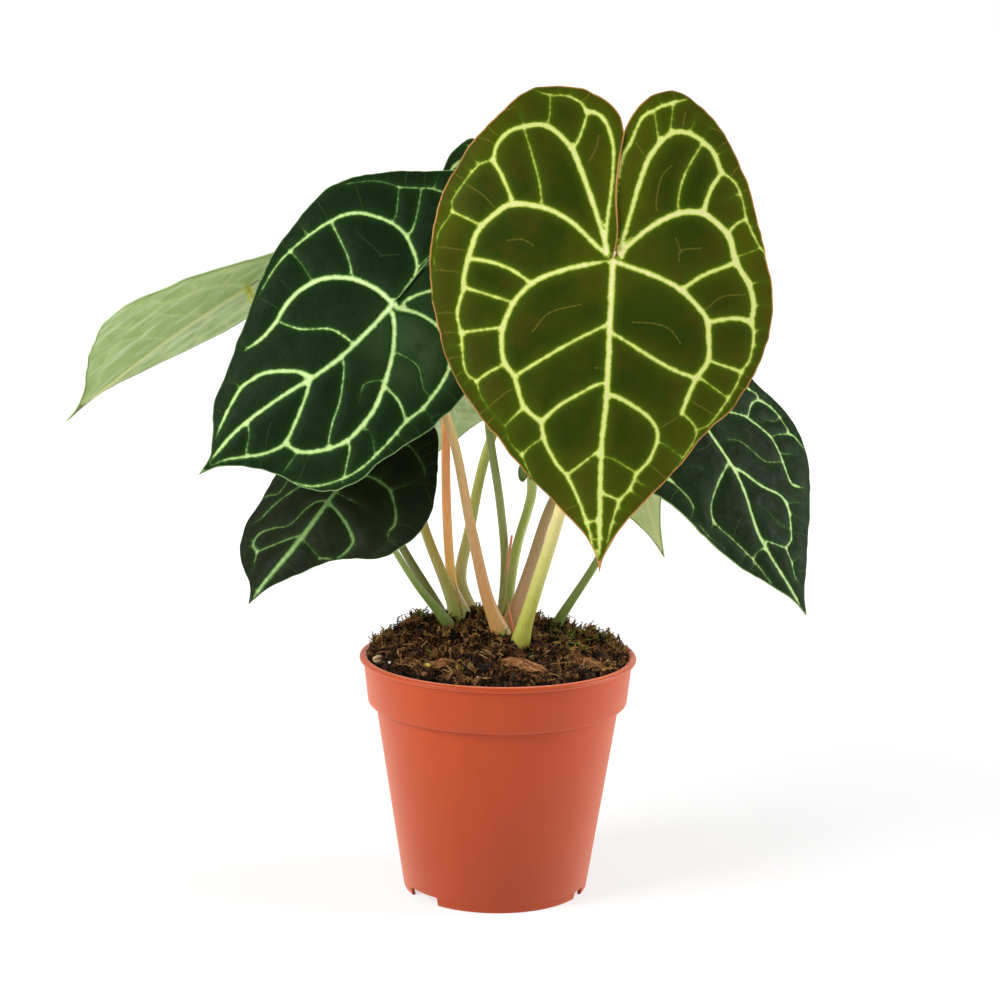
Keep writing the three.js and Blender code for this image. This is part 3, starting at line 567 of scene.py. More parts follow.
# Each chunk of husk: middle, length, width and heading in degrees.
HUSKS = [((10.7, -36), 24, 8, -49), ((37.5, -19), 27, 8, -58), ((-24, -31), 11, 9, 15), ((-38, 16), 10, 4, 20)]
copies = []
for (mid_x, mid_y), length, width, heading in HUSKS:
    along = Vector((math.cos(math.radians(heading)), math.sin(math.radians(heading)), 0))
    beside = Vector((-along.y, along.x, 0))
    bed = soil_height(mid_x, mid_y)
    for _ in range(FIBRES_IN_A_HUSK):
        across = dice.uniform(-1, 1)
        reach = length * math.sqrt(1 - across * across) * dice.uniform(0.36, 0.54)
        start = dice.uniform(-0.12, 0.12) * length
        points = []
        for i in range(6):
            t = i / 2.5 - 1
            spot = along * (start + reach * t) + beside * width / 2 * across * (1 + 0.12 * t)
            x, y = mid_x + spot.x, mid_y + spot.y
            crown = 1.5 + 2.4 * (1 - across ** 2) * (1 - 0.6 * t * t) * dice.uniform(0.45, 1.1)
            points.append(Vector((x, y, 0.4 * soil_height(x, y) + 0.6 * bed + crown)))
        copies.append((limb(points, (0.08, 0.17, 0.2, 0.2, 0.16, 0.06)), Matrix.Identity(4), dice.random()))
strew("husk_chunks", copies, husk_fibre)

copies = []
for (x, y), size, tone in [
    ((-51, -15.5), 2.3, 0.15), ((-45.8, -22.8), 0.8, 1), ((-43, -27), 0.6, 1), ((-29.6, -37.4), 1.3, 0.68),
    ((47, -18), 0.7, 1), ((-8, -44), 0.6, 0.9), ((22, -44), 0.5, 1), ((-20, 8), 0.5, 1),
]:
    corners, faces = ball(3)
    lumpy = [corner * (1 + 0.14 * noise.noise(corner * 1.3 + Vector((x, y, 0)))) for corner in corners]
    shape = ([Vector((c.x * 1.1, c.y, c.z * 0.8)) for c in lumpy], faces)
    place = Matrix.Translation((x, y, soil_height(x, y) + 0.7 * size)) @ Matrix.Scale(size, 4)
    copies.append((shape, place, tone))
strew("pebble_and_grains", copies, stone)

copies = []
for start, middle, end in [
    ((29, 3, 108), (34, 0, 110.5), (41, -2, 106.5)), ((31, 5, 108), (37, 1, 109.5), (40, -4, 106)),
    ((12, -18, 106), (16, -16, 109), (21, -17, 106)), ((-12, -14, 107), (-8, -17, 110), (-3, -15, 107)),
]:
    a, b, c = Vector(start), Vector(middle), Vector(end)
    arch = [a.lerp(b, t).lerp(b.lerp(c, t), t) for t in (0, 0.15, 0.3, 0.45, 0.6, 0.75, 0.9, 1)]
    stem = limb(arch, (0.3, 0.34, 0.36, 0.38, 0.36, 0.34, 0.3, 0.15), 5)
    copies.append((stem, Matrix.Identity(4), dice.random()))
strew("green_stems", copies, fresh_stem)


# ---- Leaf blades ----
# Leathery heart-shaped blades, each laid out flat and then bent. Pale veins lie in the velvety upper face,
# and the midrib stands out below. The margin is thin and often copper-coloured. Veins narrower than HAIR
# are faint threads, free ends taper over TAPER, and WEB rounds the corners where veins meet.
THICKNESS = 0.75
HAIR = 0.05
TAPER = 6
WEB = 0.4


class Blade:
    """A blade's curved surface. "across" runs right of the midrib with the tip down, "along" to the tip."""

    def __init__(self, joint, toward, face, length, curl, fold, cup, lobe_curl, wave, tuck=0, slit=()):
        self.joint = Vector(joint)
        self.length = length
        aim = (Vector(toward) - self.joint).normalized()
        up = (Vector(face) - aim * Vector(face).dot(aim)).normalized()
        half = math.radians(curl) / 2
        self.down = aim * math.cos(half) + up * math.sin(half)
        self.up = up * math.cos(half) - aim * math.sin(half)
        self.right = self.up.cross(self.down)
        self.curl = math.radians(curl) / length
        self.lobe_curl = math.radians(lobe_curl) / 100
        self.fold = [math.radians(angle) for angle in fold]
        self.cup = math.radians(cup) / 100
        self.wave = wave
        self.tuck = tuck
        self.slit = slit

    def point(self, across, along):
        """The place in space of a place on the flat blade."""
        bend = self.lobe_curl if along < 0 else self.curl
        turn = bend * along
        fold = self.fold[0 if across < 0 else 1]
        width = abs(across)
        reach = (math.sin(fold + self.cup * width) - math.sin(fold)) / self.cup
        drop = (math.cos(fold) - math.cos(fold + self.cup * width)) / self.cup
        height, count, phase = self.wave
        inner = along - 0.2 * self.length
        radius = min(math.hypot(across, inner) / (0.6 * self.length), 1.4)
        ripple = height * radius ** 3 * math.sin(count * math.atan2(across, inner) + math.radians(phase))
        lift = ripple - drop
        spot = (
            self.joint
            + self.down * (math.sin(turn) / bend + math.sin(turn) * lift)
            + self.up * ((math.cos(turn) - 1) / bend + math.cos(turn) * lift)
            + self.right * math.copysign(reach, across)
        )
        if self.tuck and along < 0 and across > -4:
            ease = min(1, -along / 5)
            tucked = self.tuck * ease * ease * (3 - 2 * ease) * math.exp(-max(0, across) / 16)
            tucked *= 1 / (1 + math.exp((-along - 58) / 4))
            if across > self.slit_middle(along):
                spot -= self.right * tucked + self.up * tucked * 0.6
        return spot

    def slit_middle(self, along):
        """The middle of the slit between the two lobes."""
        line = self.slit
        for (x0, y0), (x1, y1) in zip(line, line[1:]):
            if y1 <= along <= y0:
                return x0 + (x1 - x0) * (along - y0) / (y1 - y0)
        return line[-1][0]

    def normal(self, across, along):
        """The direction in which the upper face looks."""
        step = 0.2
        side = self.point(across + step, along) - self.point(across - step, along)
        tip = self.point(across, along + step) - self.point(across, along - step)
        return tip.cross(side).normalized()


def smooth_line(points, step):
    """Evenly spaced points on a smooth line through the given ones."""
    points = [Vector(p) for p in points]
    if len(points) == 2:
        dense = [points[0].lerp(points[1], i / 40) for i in range(41)]
    else:
        padded = [2 * points[0] - points[1], *points, 2 * points[-1] - points[-2]]
        dense = []
        for a, b, c, d in zip(padded, padded[1:], padded[2:], padded[3:]):
            t1 = (b - a).length ** 0.5
            t2 = t1 + (c - b).length ** 0.5
            t3 = t2 + (d - c).length ** 0.5
            for i in range(24):
                t = t1 + (t2 - t1) * i / 24
                ab = a.lerp(b, t / t1)
                bc = b.lerp(c, (t - t1) / (t2 - t1))
                cd = c.lerp(d, (t - t2) / (t3 - t2))
                dense.append(ab.lerp(bc, t / t2).lerp(bc.lerp(cd, (t - t1) / (t3 - t1)), (t - t1) / (t2 - t1)))
        dense.append(points[-1])
    lengths = [0]
    for a, b in zip(dense, dense[1:]):
        lengths.append(lengths[-1] + (b - a).length)
    count = max(1, round(lengths[-1] / step))
    line = []
    place = 0
    for i in range(count + 1):
        target = lengths[-1] * i / count
        while place < len(lengths) - 2 and lengths[place + 1] < target:
            place += 1
        share = (target - lengths[place]) / max(lengths[place + 1] - lengths[place], 1e-9)
        line.append(dense[place].lerp(dense[place + 1], min(share, 1)))
    return line


def is_inside(point, ring):
    """Whether a flat point lies inside a closed outline."""
    hit = False
    for a, b in zip(ring, ring[1:] + ring[:1]):
        if (a.y > point.y) != (b.y > point.y):
            if point.x < a.x + (point.y - a.y) * (b.x - a.x) / (b.y - a.y):
                hit = not hit
    return hit


def margin_veinlets(outline, veins, seed):
    """Faint veinlets that cross the band between the outermost vein and the rim."""
    dice = random.Random(seed)
    rim = [point for line in outline for point in smooth_line(line, 1)[:-1]]
    bank = tree_of([point for widths, line in veins if max(widths) > HAIR for point in smooth_line(line, 1)])
    veinlets = []
    step = 0
    while step < len(rim):
        point = rim[step]
        step += round(dice.uniform(5, 8.5))
        spot, _, gap = bank.find((point.x, point.y, 0))
        if not 3.5 < gap < 13 or point.y < 0 and abs(point.x) < 7:
            continue
        start = Vector(spot[:2])
        sway = Vector((dice.uniform(-0.7, 0.7), dice.uniform(-0.7, 0.7)))
        course = [start.lerp(point, 0.1), start.lerp(point, 0.5) + sway, start.lerp(point, 0.9)]
        veinlets.append(((0.2, 0, -0.4) if dice.random() < 0.35 else (-0.9, -0.9, -0.9), course))
    return veinlets


def blade_mesh(name, surface, outline, veins, pitch, puff):
    """A closed blade with mesh edges along its veins. "vein", "hair", "rib" and "margin" hold the distance
    from a vein's edge, from a hair vein, from the midrib and from the rim, "sheet" the place on the blade."""
    rim = []
    for line in outline:
        rim.extend(smooth_line(line, 1.5)[:-1])
    for point in rim:
        if point.y > 0.94 * surface.length or point.y < 0 and abs(point.x) < 8:
            continue
        wobble = 0.5 * noise.noise(Vector((point.x, point.y, 3)) / 4.5)
        wobble += 0.7 * noise.noise(Vector((point.x, point.y, 8)) / 13)
        point += (point - Vector((0, 0.2 * surface.length))).normalized() * wobble
    rim_tree = tree_of(rim)
    points = list(rim)
    edges = [(i, (i + 1) % len(rim)) for i in range(len(rim))]
    samples = []
    owners = []
    widths = []
    hairs = [Vector((99, 99))]
    for owner, ((start, middle, end), line) in enumerate(veins):
        fine = smooth_line(line, 0.4)
        if max(start, middle, end) < HAIR:
            hairs.extend(fine)
            continue
        for i, point in enumerate(fine):
            share = 2 * i / (len(fine) - 1)
            samples.append(point)
            owners.append(owner)
            if share < 1:
                widths.append(start + (middle - start) * share)
            else:
                widths.append(middle + (end - middle) * (share - 1))
    vein_tree = tree_of(samples)
    for owner, (_, line) in enumerate(veins):
        for tip in (Vector(line[0]), Vector(line[-1])):
            near = vein_tree.find_range((tip.x, tip.y, 0), 1.6)
            if any(owners[i] != owner and widths[i] > 0.5 for _, i, _ in near):
                continue
            for _, i, away in vein_tree.find_range((tip.x, tip.y, 0), TAPER):
                if owners[i] == owner:
                    widths[i] -= 1.6 * (1 - away / TAPER)
    for _, line in veins:
        last = None
        for point in smooth_line(line, 1.4):
            if rim_tree.find((point.x, point.y, 0))[2] < 0.7 or not is_inside(point, rim):
                last = None
                continue
            points.append(point)
            if last is not None:
                edges.append((last, len(points) - 1))
            last = len(points) - 1
    scatter = random.Random(name)
    low_x, high_x = min(p.x for p in rim), max(p.x for p in rim)
    low_y, high_y = min(p.y for p in rim), max(p.y for p in rim)
    for row in range(int((high_y - low_y) / (0.866 * pitch)) + 1):
        for column in range(int((high_x - low_x) / pitch) + 1):
            point = Vector((
                low_x + pitch * (column + 0.5 * (row % 2) + scatter.uniform(-0.15, 0.15)),
                low_y + pitch * (0.866 * row + scatter.uniform(-0.15, 0.15)),
            ))
            if rim_tree.find((point.x, point.y, 0))[2] < 0.6 * pitch:
                continue
            if vein_tree.find((point.x, point.y, 0))[2] < 0.45 * pitch or not is_inside(point, rim):
                continue
            points.append(point)
    flat, _, faces, _, _, _ = geometry.delaunay_2d_cdt(points, edges, [], 1, 1e-4)
    trees = {"margin": rim_tree, "rib": tree_of(smooth_line(veins[0][1], 0.4)), "hair": tree_of(hairs)}
    fields = {"vein": [], "margin": [], "rib": [], "hair": []}
    for point in flat:
        nearest = {}
        for _, i, away in vein_tree.find_n((point.x, point.y, 0), 26):
            nearest[owners[i]] = min(away - widths[i] / 2, nearest.get(owners[i], 99))
        fields["vein"].append(-WEB * math.log(sum(math.exp(-away / WEB) for away in nearest.values())))
        for title, places in trees.items():
            fields[title].append(places.find((point.x, point.y, 0))[2])
    count = len(flat)
    upper = []
    lower = []
    for point, distance, margin in zip(flat, fields["vein"], fields["margin"]):
        place = surface.point(point.x, point.y)
        normal = surface.normal(point.x, point.y)
        quilt = puff * (1 - math.exp(-max(distance, 0) / 3)) * min(1, margin / 6)
        rib = 0.35 * math.exp(-(max(distance, 0) / 0.9) ** 2) * min(1, margin / 3)
        if abs(point.x) < 3 and point.y > 0:
            rib += 0.8 * max(0, 1 - point.y / surface.length) * math.exp(-(point.x / 1.1) ** 2)
        upper.append((place + normal * (THICKNESS / 2 + quilt - 0.4 * puff)) * MM)
        lower.append((place - normal * (THICKNESS / 2 + rib - 0.8 * quilt + 0.4 * puff)) * MM)
    all_faces = [list(face) for face in faces]
    all_faces += [[i + count for i in reversed(face)] for face in faces]
    border = {}
    for face in faces:
        for a, b in zip(face, face[1:] + face[:1]):
            if (b, a) in border:
                del border[(b, a)]
            else:
                border[(a, b)] = True
    all_faces += [[b, a, a + count, b + count] for a, b in border]
    blade = new_piece(name, upper + lower, all_faces)
    for title, values in fields.items():
        blade.data.attributes.new(title, "FLOAT", "POINT").data.foreach_set("value", values + values)
    sheet = blade.data.attributes.new("sheet", "FLOAT_VECTOR", "POINT")
    sheet.data.foreach_set("vector", [value for point in flat for value in (point.x, point.y, 0)] * 2)
    tops = len(faces)
    for i, polygon in enumerate(blade.data.polygons):
        polygon.material_index = 0 if i < tops else 1 if i < 2 * tops else 2
        polygon.use_smooth = True
    pick(blade)
    bpy.ops.object.mode_set(mode="EDIT")
    face_outwards()
    bpy.ops.object.shade_smooth_by_angle(angle=math.radians(50))
    return blade


def heart(length, width, lobe):
    """An even heart outline, closed."""
    lines = []
    for side in (-1, 1):
        half = side * width / 2
        slit = [(0, 0), (0.035 * half, -0.25 * lobe), (0.045 * half, -0.5 * lobe), (0.07 * half, -0.76 * lobe)]
        upper = [(0.16, -0.94), (0.34, -1), (0.58, -0.88), (0.82, -0.53), (0.97, -0.03)]
        lower = [(1, 0.13), (0.93, 0.3), (0.78, 0.45), (0.62, 0.55), (0.4, 0.7), (0.16, 0.84), (0, 1)]
        edge = [(x * half, y * lobe) for x, y in upper] + [(x * half, y * length) for x, y in lower]
        lines += [slit, edge]
    return closed_outline(*lines)


def closed_outline(slit_left, edge_left, slit_right, edge_right):
    """The four lines of an outline, in order round the blade from its notch."""
    return [
        slit_left,
        [slit_left[-1], *edge_left],
        [*edge_right[::-1], slit_right[-1]],
        slit_right[::-1],
    ]


def layered(tree, colour, layers):
    """Lays colours over a colour, each fading in as its source goes from the near to the far value."""
    for source, near, far, code, share in layers:
        reach = node(tree, "MapRange", {"interpolation_type": "SMOOTHSTEP", "From Min": near, "From Max": far,
                                        "To Max": share}, {"Value": source})
        links = {0: reach, 6: colour}
        if isinstance(code, str):
            layer = node(tree, "Mix", {"data_type": "RGBA", 7: code}, links)
        else:
            layer = node(tree, "Mix", {"data_type": "RGBA"}, {**links, 7: code})
        colour = (layer, 2)
    return colour


def skin(name, flesh_codes, vein_codes, edge_code, edge_width, gloss, relief):
    """The velvety upper face: deep green flesh, warmer towards the margin, with feathered pale veins. A
    painted sheen of paler green lies beside the joint.
    """
    deep, warm, brown, painted_sheen, halo, hair_code = flesh_codes
    vein_edge, vein_core, young_heart, old_heart = vein_codes
    material, tree, shader = new_material(name)
    place = node(tree, "TexCoord")
    vein, margin, threads, sheet = (
        node(tree, "Attribute", {"attribute_name": title}) for title in ("vein", "margin", "hair", "sheet")
    )
    fine, broad, cloud, stain, nap, mottle = (
        node(tree, "TexNoise", {"Scale": scale, "Detail": detail, "Roughness": rough},
             {"Vector": (place, "Object")})
        for scale, detail, rough in (
            (1300, 3, 0.6), (330, 3, 0.5), (45, 4, 0.5), (75, 4, 0.6), (2600, 2, 0.5), (190, 5, 0.65),
        )
    )
    fray, swell, drift, worn, shine = (
        node(tree, "MapRange", {"From Min": low, "From Max": high, "To Min": least, "To Max": most},
             {"Value": (pattern, "Fac")})
        for pattern, low, high, least, most in (
            (fine, 0.25, 0.75, -0.13, 0.13), (broad, 0.25, 0.75, -0.22, 0.22), (cloud, 0.35, 0.65, -0.3, 0.35),
            (cloud, 0.35, 0.6, 0.45, 1), (mottle, 0.4, 0.7, 0.02, gloss),
        )
    )
    rough = node(tree, "Math", {"operation": "ADD"}, {0: swell, 1: fray})
    ragged = node(tree, "Math", {"operation": "ADD"}, {0: (vein, "Fac"), 1: rough})
    warmth = node(tree, "MapRange", {"From Min": 24, "From Max": 3, "To Max": 0.8}, {"Value": (margin, "Fac")})
    blush = node(tree, "Math", {"operation": "ADD", "use_clamp": True}, {0: warmth, 1: drift})
    flesh = node(tree, "Mix", {"data_type": "RGBA", 6: deep, 7: warm}, {0: blush})
    # Painted sheen: the fourth flesh colour fades in within 32 mm of a spot 18 mm right of the joint.
    painted_sheen_distance = node(tree, "VectorMath", {"operation": "DISTANCE", 1: (18, 3, 0)}, {0: (sheet, "Vector")})
    span = node(tree, "VectorMath", {"operation": "LENGTH"}, {0: (sheet, "Vector")})
    age = node(tree, "MapRange", {"From Min": 12, "From Max": 60}, {"Value": (span, "Value")})
    heart_tint = node(tree, "Mix", {"data_type": "RGBA", 6: young_heart, 7: old_heart}, {0: age})
    colour = layered(tree, (flesh, 2), [
        ((painted_sheen_distance, "Value"), 32, 4, painted_sheen, 0.5), ((stain, "Fac"), 0.42, 0.7, brown, 0.6),
        ((threads, "Fac"), 0.6, 0, hair_code, 0.38), (ragged, 5, 0.5, halo, 0.25), (ragged, 1.7, 0, halo, 0.7),
        (ragged, 0.45, -0.25, vein_edge, 0.9), (ragged, -0.05, -0.55, vein_core, 1),
        (ragged, -0.6, -1.1, (heart_tint, 2), 1),
    ])
    brim = node(tree, "MapRange", {"From Min": edge_width, "From Max": 0.1, "To Max": 0.95},
                {"Value": (margin, "Fac")})
    piping = node(tree, "Math", {"operation": "MULTIPLY"}, {0: brim, 1: worn})
    edged = node(tree, "Mix", {"data_type": "RGBA", 7: edge_code}, {0: piping, 6: colour})
    dip = node(tree, "MapRange", {"interpolation_type": "SMOOTHSTEP", "From Min": -0.3, "From Max": 0.8},
               {"Value": ragged})
    valley = node(tree, "Bump", {"Strength": relief, "Distance": 0.0004}, {"Height": dip})
    crease = node(tree, "Bump", {"Strength": relief * 0.6, "Distance": 0.0008},
                  {"Height": (broad, "Fac"), "Normal": valley})
    pile = node(tree, "Bump", {"Strength": 0.12, "Distance": 0.0002},
                {"Height": (nap, "Fac"), "Normal": crease})
    node(tree, shader, {"Roughness": 0.48},
         {"Base Color": (edged, 2), "Normal": pile, "Specular IOR Level": shine})
    return material


def underside(name, dark_flesh, pale_flesh, streak, rib_code, vein_code, edge):
    """The pale, duller lower face: darker cells and milky streaks along it, and a yellowish midrib."""
    material, tree, shader = new_material(name)
    place = node(tree, "TexCoord")
    vein, margin, rib, sheet = (
        node(tree, "Attribute", {"attribute_name": title}) for title in ("vein", "margin", "rib", "sheet")
    )
    cloud = node(tree, "TexNoise", {"Scale": 120, "Detail": 5}, {"Vector": (place, "Object")})
    mottled = node(tree, "ValToRGB", {"stops": [(0.3, dark_flesh), (0.7, pale_flesh)]}, {"Fac": (cloud, "Fac")})
    drawn_out = node(tree, "Mapping", {"Rotation": (0, 0, 0.2), "Scale": (0.2, 0.018, 1)},
                     {"Vector": (sheet, "Vector")})
    lines = node(tree, "TexNoise", {"Scale": 1, "Detail": 5, "Roughness": 0.65}, {"Vector": drawn_out})
    colour = layered(tree, mottled, [
        ((lines, "Fac"), 0.47, 0.7, streak, 0.8), ((lines, "Fac"), 0.4, 0.2, dark_flesh, 0.8),
        ((vein, "Fac"), 0.8, -0.6, vein_code, 0.5), ((rib, "Fac"), 1.2, 0.5, rib_code, 0.9),
        ((margin, "Fac"), 0.8, 0.2, edge, 0.8),
    ])
    grain = node(tree, "TexNoise", {"Scale": 1500, "Detail": 3}, {"Vector": (place, "Object")})
    bump = node(tree, "Bump", {"Strength": 0.15, "Distance": 0.0003}, {"Height": (grain, "Fac")})
    node(tree, shader, {"Roughness": 0.5, "Specular IOR Level": 0.3}, {"Base Color": colour, "Normal": bump})
    return material


def margin_finish(name, dark, pale):
    """The thin cut-looking rim of a blade."""
    material, tree, shader = new_material(name)
    place = node(tree, "TexCoord")
    spots = node(tree, "TexNoise", {"Scale": 90, "Detail": 3}, {"Vector": (place, "Object")})
    tone = node(tree, "ValToRGB", {"stops": [(0, dark), (1, pale)]}, {"Fac": (spots, "Fac")})
    node(tree, shader, {"Roughness": 0.45}, {"Base Color": tone})
    return material


# Upper faces: the newest leaf is olive with cream veins, older ones are nearly black green with lime veins.
# The fourth flesh colour of each skin is its painted sheen beside the joint.
olive_skin = skin(
    "olive_velvet_leaf", ("#233105", "#3E4006", "#3A3409", "#343E0A", "#3C520A", "#78702C"),
    ("#87942F", "#B8C46C", "#D8CA9C", "#BEBC7E"), "#C08850", 0.8, 0.04, 0.35,
)
dark_skin = skin(
    "dark_velvet_leaf", ("#0F1F0C", "#10210D", "#132310", "#3A512F", "#1E3514", "#2E4C22"),
    ("#4E7236", "#A4BE78", "#CAD8A0", "#BACA90"), "#789660", 0.6, 0.04, 0.6,
)
dull_skin = skin(
    "dull_velvet_leaf", ("#121F0D", "#16250F", "#1A2A13", "#28381F", "#243818", "#44582E"),
    ("#4E6E38", "#ACC882", "#CCDCA4", "#C4D69A"), "#5A7448", 0.5, 0.05, 0.6,
)
# A darker copy with dim veins for the low leaf in the shadow of the left leaf: painted shade.
painted_shade_skin = skin(
    "shaded_velvet_leaf", ("#12180C", "#171C11", "#1B2114", "#181F10", "#1E2C14", "#2E4020"),
    ("#385229", "#627C46", "#5E7442", "#9CB478"), "#2A4022", 0.5, 0.05, 0.6,
)
# A paler copy of the underside for the back right leaf, which stands in shade behind the front leaf: painted
# light.
painted_light_below = underside(
    "bright_leaf_underside", "#BACE7E", "#D0DE9C", "#DEE8B4", "#D8DE9C", "#CAD696", "#5E7A3C",
)
pale_below = underside(
    "pale_leaf_underside", "#88A25A", "#A0B874", "#C2D2A6", "#CCD28A", "#B4C280", "#5A5A36",
)
green_below = underside(
    "green_leaf_underside", "#6A8648", "#82985C", "#98A878", "#B4C078", "#98A86A", "#49602E",
)
copper_rim = margin_finish("copper_leaf_margin", "#C27E4C", "#E2A878")
green_rim = margin_finish("green_leaf_margin", "#5E7C3C", "#A8C080")


def lines_from(table):
    """Lines of places across and along, from a table with a line to a row. An indented row goes on with the
    line above it."""
    rows = table.strip().replace("\n ", " ").split("\n")
    return [[tuple(float(number) for number in place.split()) for place in row.split(",")] for row in rows]


def veins_from(table):
    """Veins from a table whose rows give a vein's three widths, a colon and its course."""
    rows = table.strip().replace("\n ", " ").split("\n")
    veins = []
    for row in rows:
        widths, course = row.split(":")
        veins.append(([float(width) for width in widths.split()], lines_from(course)[0]))
    return veins


# The front leaf's veins: widths at the start, middle and end, and course, in mm across and along its
# blade. The eye sees a vein about 1 mm wider, and below 0 only its fading halo is left.
FRONT_VEINS = veins_from("""
2.7 2.2 2: 0 .5, -.3 26, -.5 55, -1.5 74.5, -1 102.5, -.3 116
1.7 1.4 2: -2.5 -3, -3 -9, -1 -38, -1.5 -49, -6 -60, -9.5 -62, -12 -62.5
1.6 .8 .4: -12 -62, -14.5 -66, -19 -68.5, -22 -69, -28 -69, -36 -71.5
1 1.1 1.3: -11.5 -62, -15.5 -48.5, -17.5 -45.5
.4 .3 .7: -27 -69, -27 -59.5, -28 -55
2 2.4 1.7: -2.5 -2, -4.5 -10.5, -16.5 -43.5, -18.5 -47, -24.5 -53, -28 -55, -30.5 -55.5, -41 -53, -44.5 -50.5,
 -47.5 -46.5, -49 -40
.9 .5 .6: -49 -40, -53.5 -38.5, -56 -36.5, -63 -26.5, -64.5 -23.5, -64.5 -19, -69.5 -10, -70.5 -3
.4 .2 .3: -70 -3, -71 0, -70.5 6, -71.5 9
1.7 1.7 1.7: -49 -40, -45 -33, -40 -21.5
1.2 1.1 1.1: -64.5 -19, -52.5 -13
-.3 -.7 0: -70 -4, -56 -2
-.9 -.9 -.2: -70.5 6, -58 7
-.6 -.4 -.7: -60.5 -31, -52.5 -25.5, -46 -18.5
-.9 -.5 .2: -41 -64, -36 -52.5
.4 .8 .7: -37 -53, -30.5 -32, -28.5 -20.5
1.9 2.5 2.1: -2.5 -2, -5.5 -4, -16 -14, -24.5 -19, -31.5 -21, -41 -21.5, -47.5 -17.5, -53.5 -11, -56 -4,
 -58.5 8, -58.5 13.5
1.6 1.4 .6: -58.5 14, -60 19.5, -60.5 24.5, -58.5 32.5, -57 44, -55.5 48, -51.5 51
.7 -.9 .6: -51.5 51, -50 56, -45 63.5, -40 68.5, -37.5 74.5, -32.5 79.5
.5 .2 0: -32.5 79.5, -28.5 87.5, -25.5 90.5
1.9 1.6 1.4: -56.5 1, -50 2, -43 4, -38 6.5, -31.5 11
1.4 1.2 1: -58.5 13, -38.5 19
1.4 1.3 1.2: -59 31.5, -42.5 29
1.2 1.2 1.2: -51.5 51, -47.5 47.5, -40.5 43.5
-.4 -.9 -.1: -46.5 61, -38 54, -35.5 53.5
1.3 1 1.2: -40 68.5, -32.5 60.5
.7 .6 .7: -32.5 79.5, -29 75.5, -24 72
2.1 2.2 1.9: -2.5 1, -19 5, -31 10.5, -37.5 17.5, -41.5 26.5, -42.5 35, -41 43, -37 48.5, -32.5 60.5, -25.5 66
1.8 1.4 1.1: -25.5 66, -24 73, -18.5 82.5, -14 87.5, -5.5 105.5, -2 117, .5 119.5
1.3 1.5 1.5: -.5 26, -16.5 35, -37 48.5
1.3 1.5 1.8: -1 50, -3 50, -14.5 56.5, -19 59.5, -25.5 66
1.1 .9 1.1: -1.5 75.5, -14.5 86.5
1 .9 1.3: -1 103.5, -6 104.5
1.3 1.5 1.4: 3 -1.5, 2.2 -20, 3.5 -35, 5 -44.5, 7 -48.5, 9 -55.5, 11 -60.5, 19.5 -66, 29.5 -69.5
.5 .4 .7: 15 -63.5, 18 -49.5
.4 .3 1: 22.5 -67, 22 -53.5
0 0 -.1: 8.5 -53.5, 8.5 -51, 14 -42
1.6 2.2 2.1: 3.5 -1, 5.5 -8, 13.5 -41, 17 -48, 20.5 -52.5, 25 -55, 30.5 -54.5, 39.5 -48.5, 43 -40.5
1.2 .9 .8: 43.5 -40.5, 47 -38.5, 50 -35.5, 52.5 -29, 54 -22, 59 -11.5, 62 -7.5, 64 -2.5
1 .1 -.9: 29.5 -55, 33 -63.5
.7 1 .7: 35 -51, 32.5 -46.5, 28 -36.5, 26 -25.5, 26.5 -21.5
1.9 1.8 2: 43.5 -40.5, 39.5 -33.5, 36 -22.5
1.3 1.2 1.5: 54 -22, 49.5 -19, 46.5 -14.5
.2 -.2 -.8: 51 -32.5, 44.5 -28.5
.2 0 .4: 60 -10, 49.5 -5
.2 0 .5: 64 3, 55.5 5.5
1.9 2.8 2.3: 3.5 -1.5, 14 -13, 22 -19, 29 -22, 34 -22.5, 37 -22, 44.5 -16.5, 47 -13.5, 50 -3, 55.5 6, 57.5 14,
 57 20.5
1.4 .9 .4: 56.5 20, 58 25, 57.5 31.5, 56.5 36.5, 53.5 41.5, 51.5 47, 41 63.5, 38.5 65, 35.5 66
1.7 1.8 2.1: 27.5 10.5, 36 4, 50 -3
-.5 -.5 -.9: 35.5 17.5, 37.5 17.5, 44 12, 54 10
2.1 1.9 2.2: 39 22.5, 50 20, 55 20.5, 57 21.5
2.2 2.3 1.8: .5 1, 18 6, 27 10, 34 16, 38.5 21.5, 39.5 28.5, 39.5 38, 34.5 46.5, 29.5 60
1.2 1.3 1.4: 39.5 38, 53.5 41.5
.8 .6 .6: 35.5 44.5, 48 52.5
-.5 -.9 -.9: 32 54, 43.5 60
1 .7 .5: 30 59.5, 36 66.5, 28.5 81.5
.1 -.1 .2: 30.5 77, 22.5 72, 20.5 71.5
-.4 -.9 -.6: 29.5 60.5, 20 67
1.4 1.8 1.7: -.5 29, 25 42.5, 35 45.5
2 1.5 .9: -.5 55, 1.5 54.5, 15 61, 19 65, 20.5 69.5, 17.5 79, 13 84.5, 10 91, 6.5 95.5, 2.5 112, 2.4 114
-.2 .2 .8: -1.5 78.5, 2 79, 13 84.5
1.5 1 1.2: -1 92.5, 6.5 95.5
-.6 -.2 -.4: -30.5 30.5, -24.5 23, -12 19
-.9 -.7 -.5: -42 -6.5, -36 -7, -31.5 -4.5
-.1 -.2 -.4: 26.5 -1.5, 27.5 -5.5, 35.5 -7.5
-.9 0 -.5: 8.5 25, 17.5 25, 22 26, 24.5 27.5, 28 32
.4 0 -.4: 57.5 14, 64 13.5
-.2 -.6 -.7: 17 80, 24 85.5
-.9 -.9 -.5: 18 -21.5, 17.5 -23.5, 19.5 -36, 23 -40.5
0 -.8 -.4: 39.5 -48.5, 45 -53.5
.4 -.4 -.6: 34.5 -51.5, 37.5 -58.5
-.5 -.6 -.8: -10.5 -40.5, -8 -46, -7 -51.5
-.2 -.4 -.5: 26.5 -55, 27.5 -63
-.9 -.2 -.4: -5.5 44, -1 44
-.9 -.9 -.6: 25.5 -10.5, 27.5 -5.5
""")
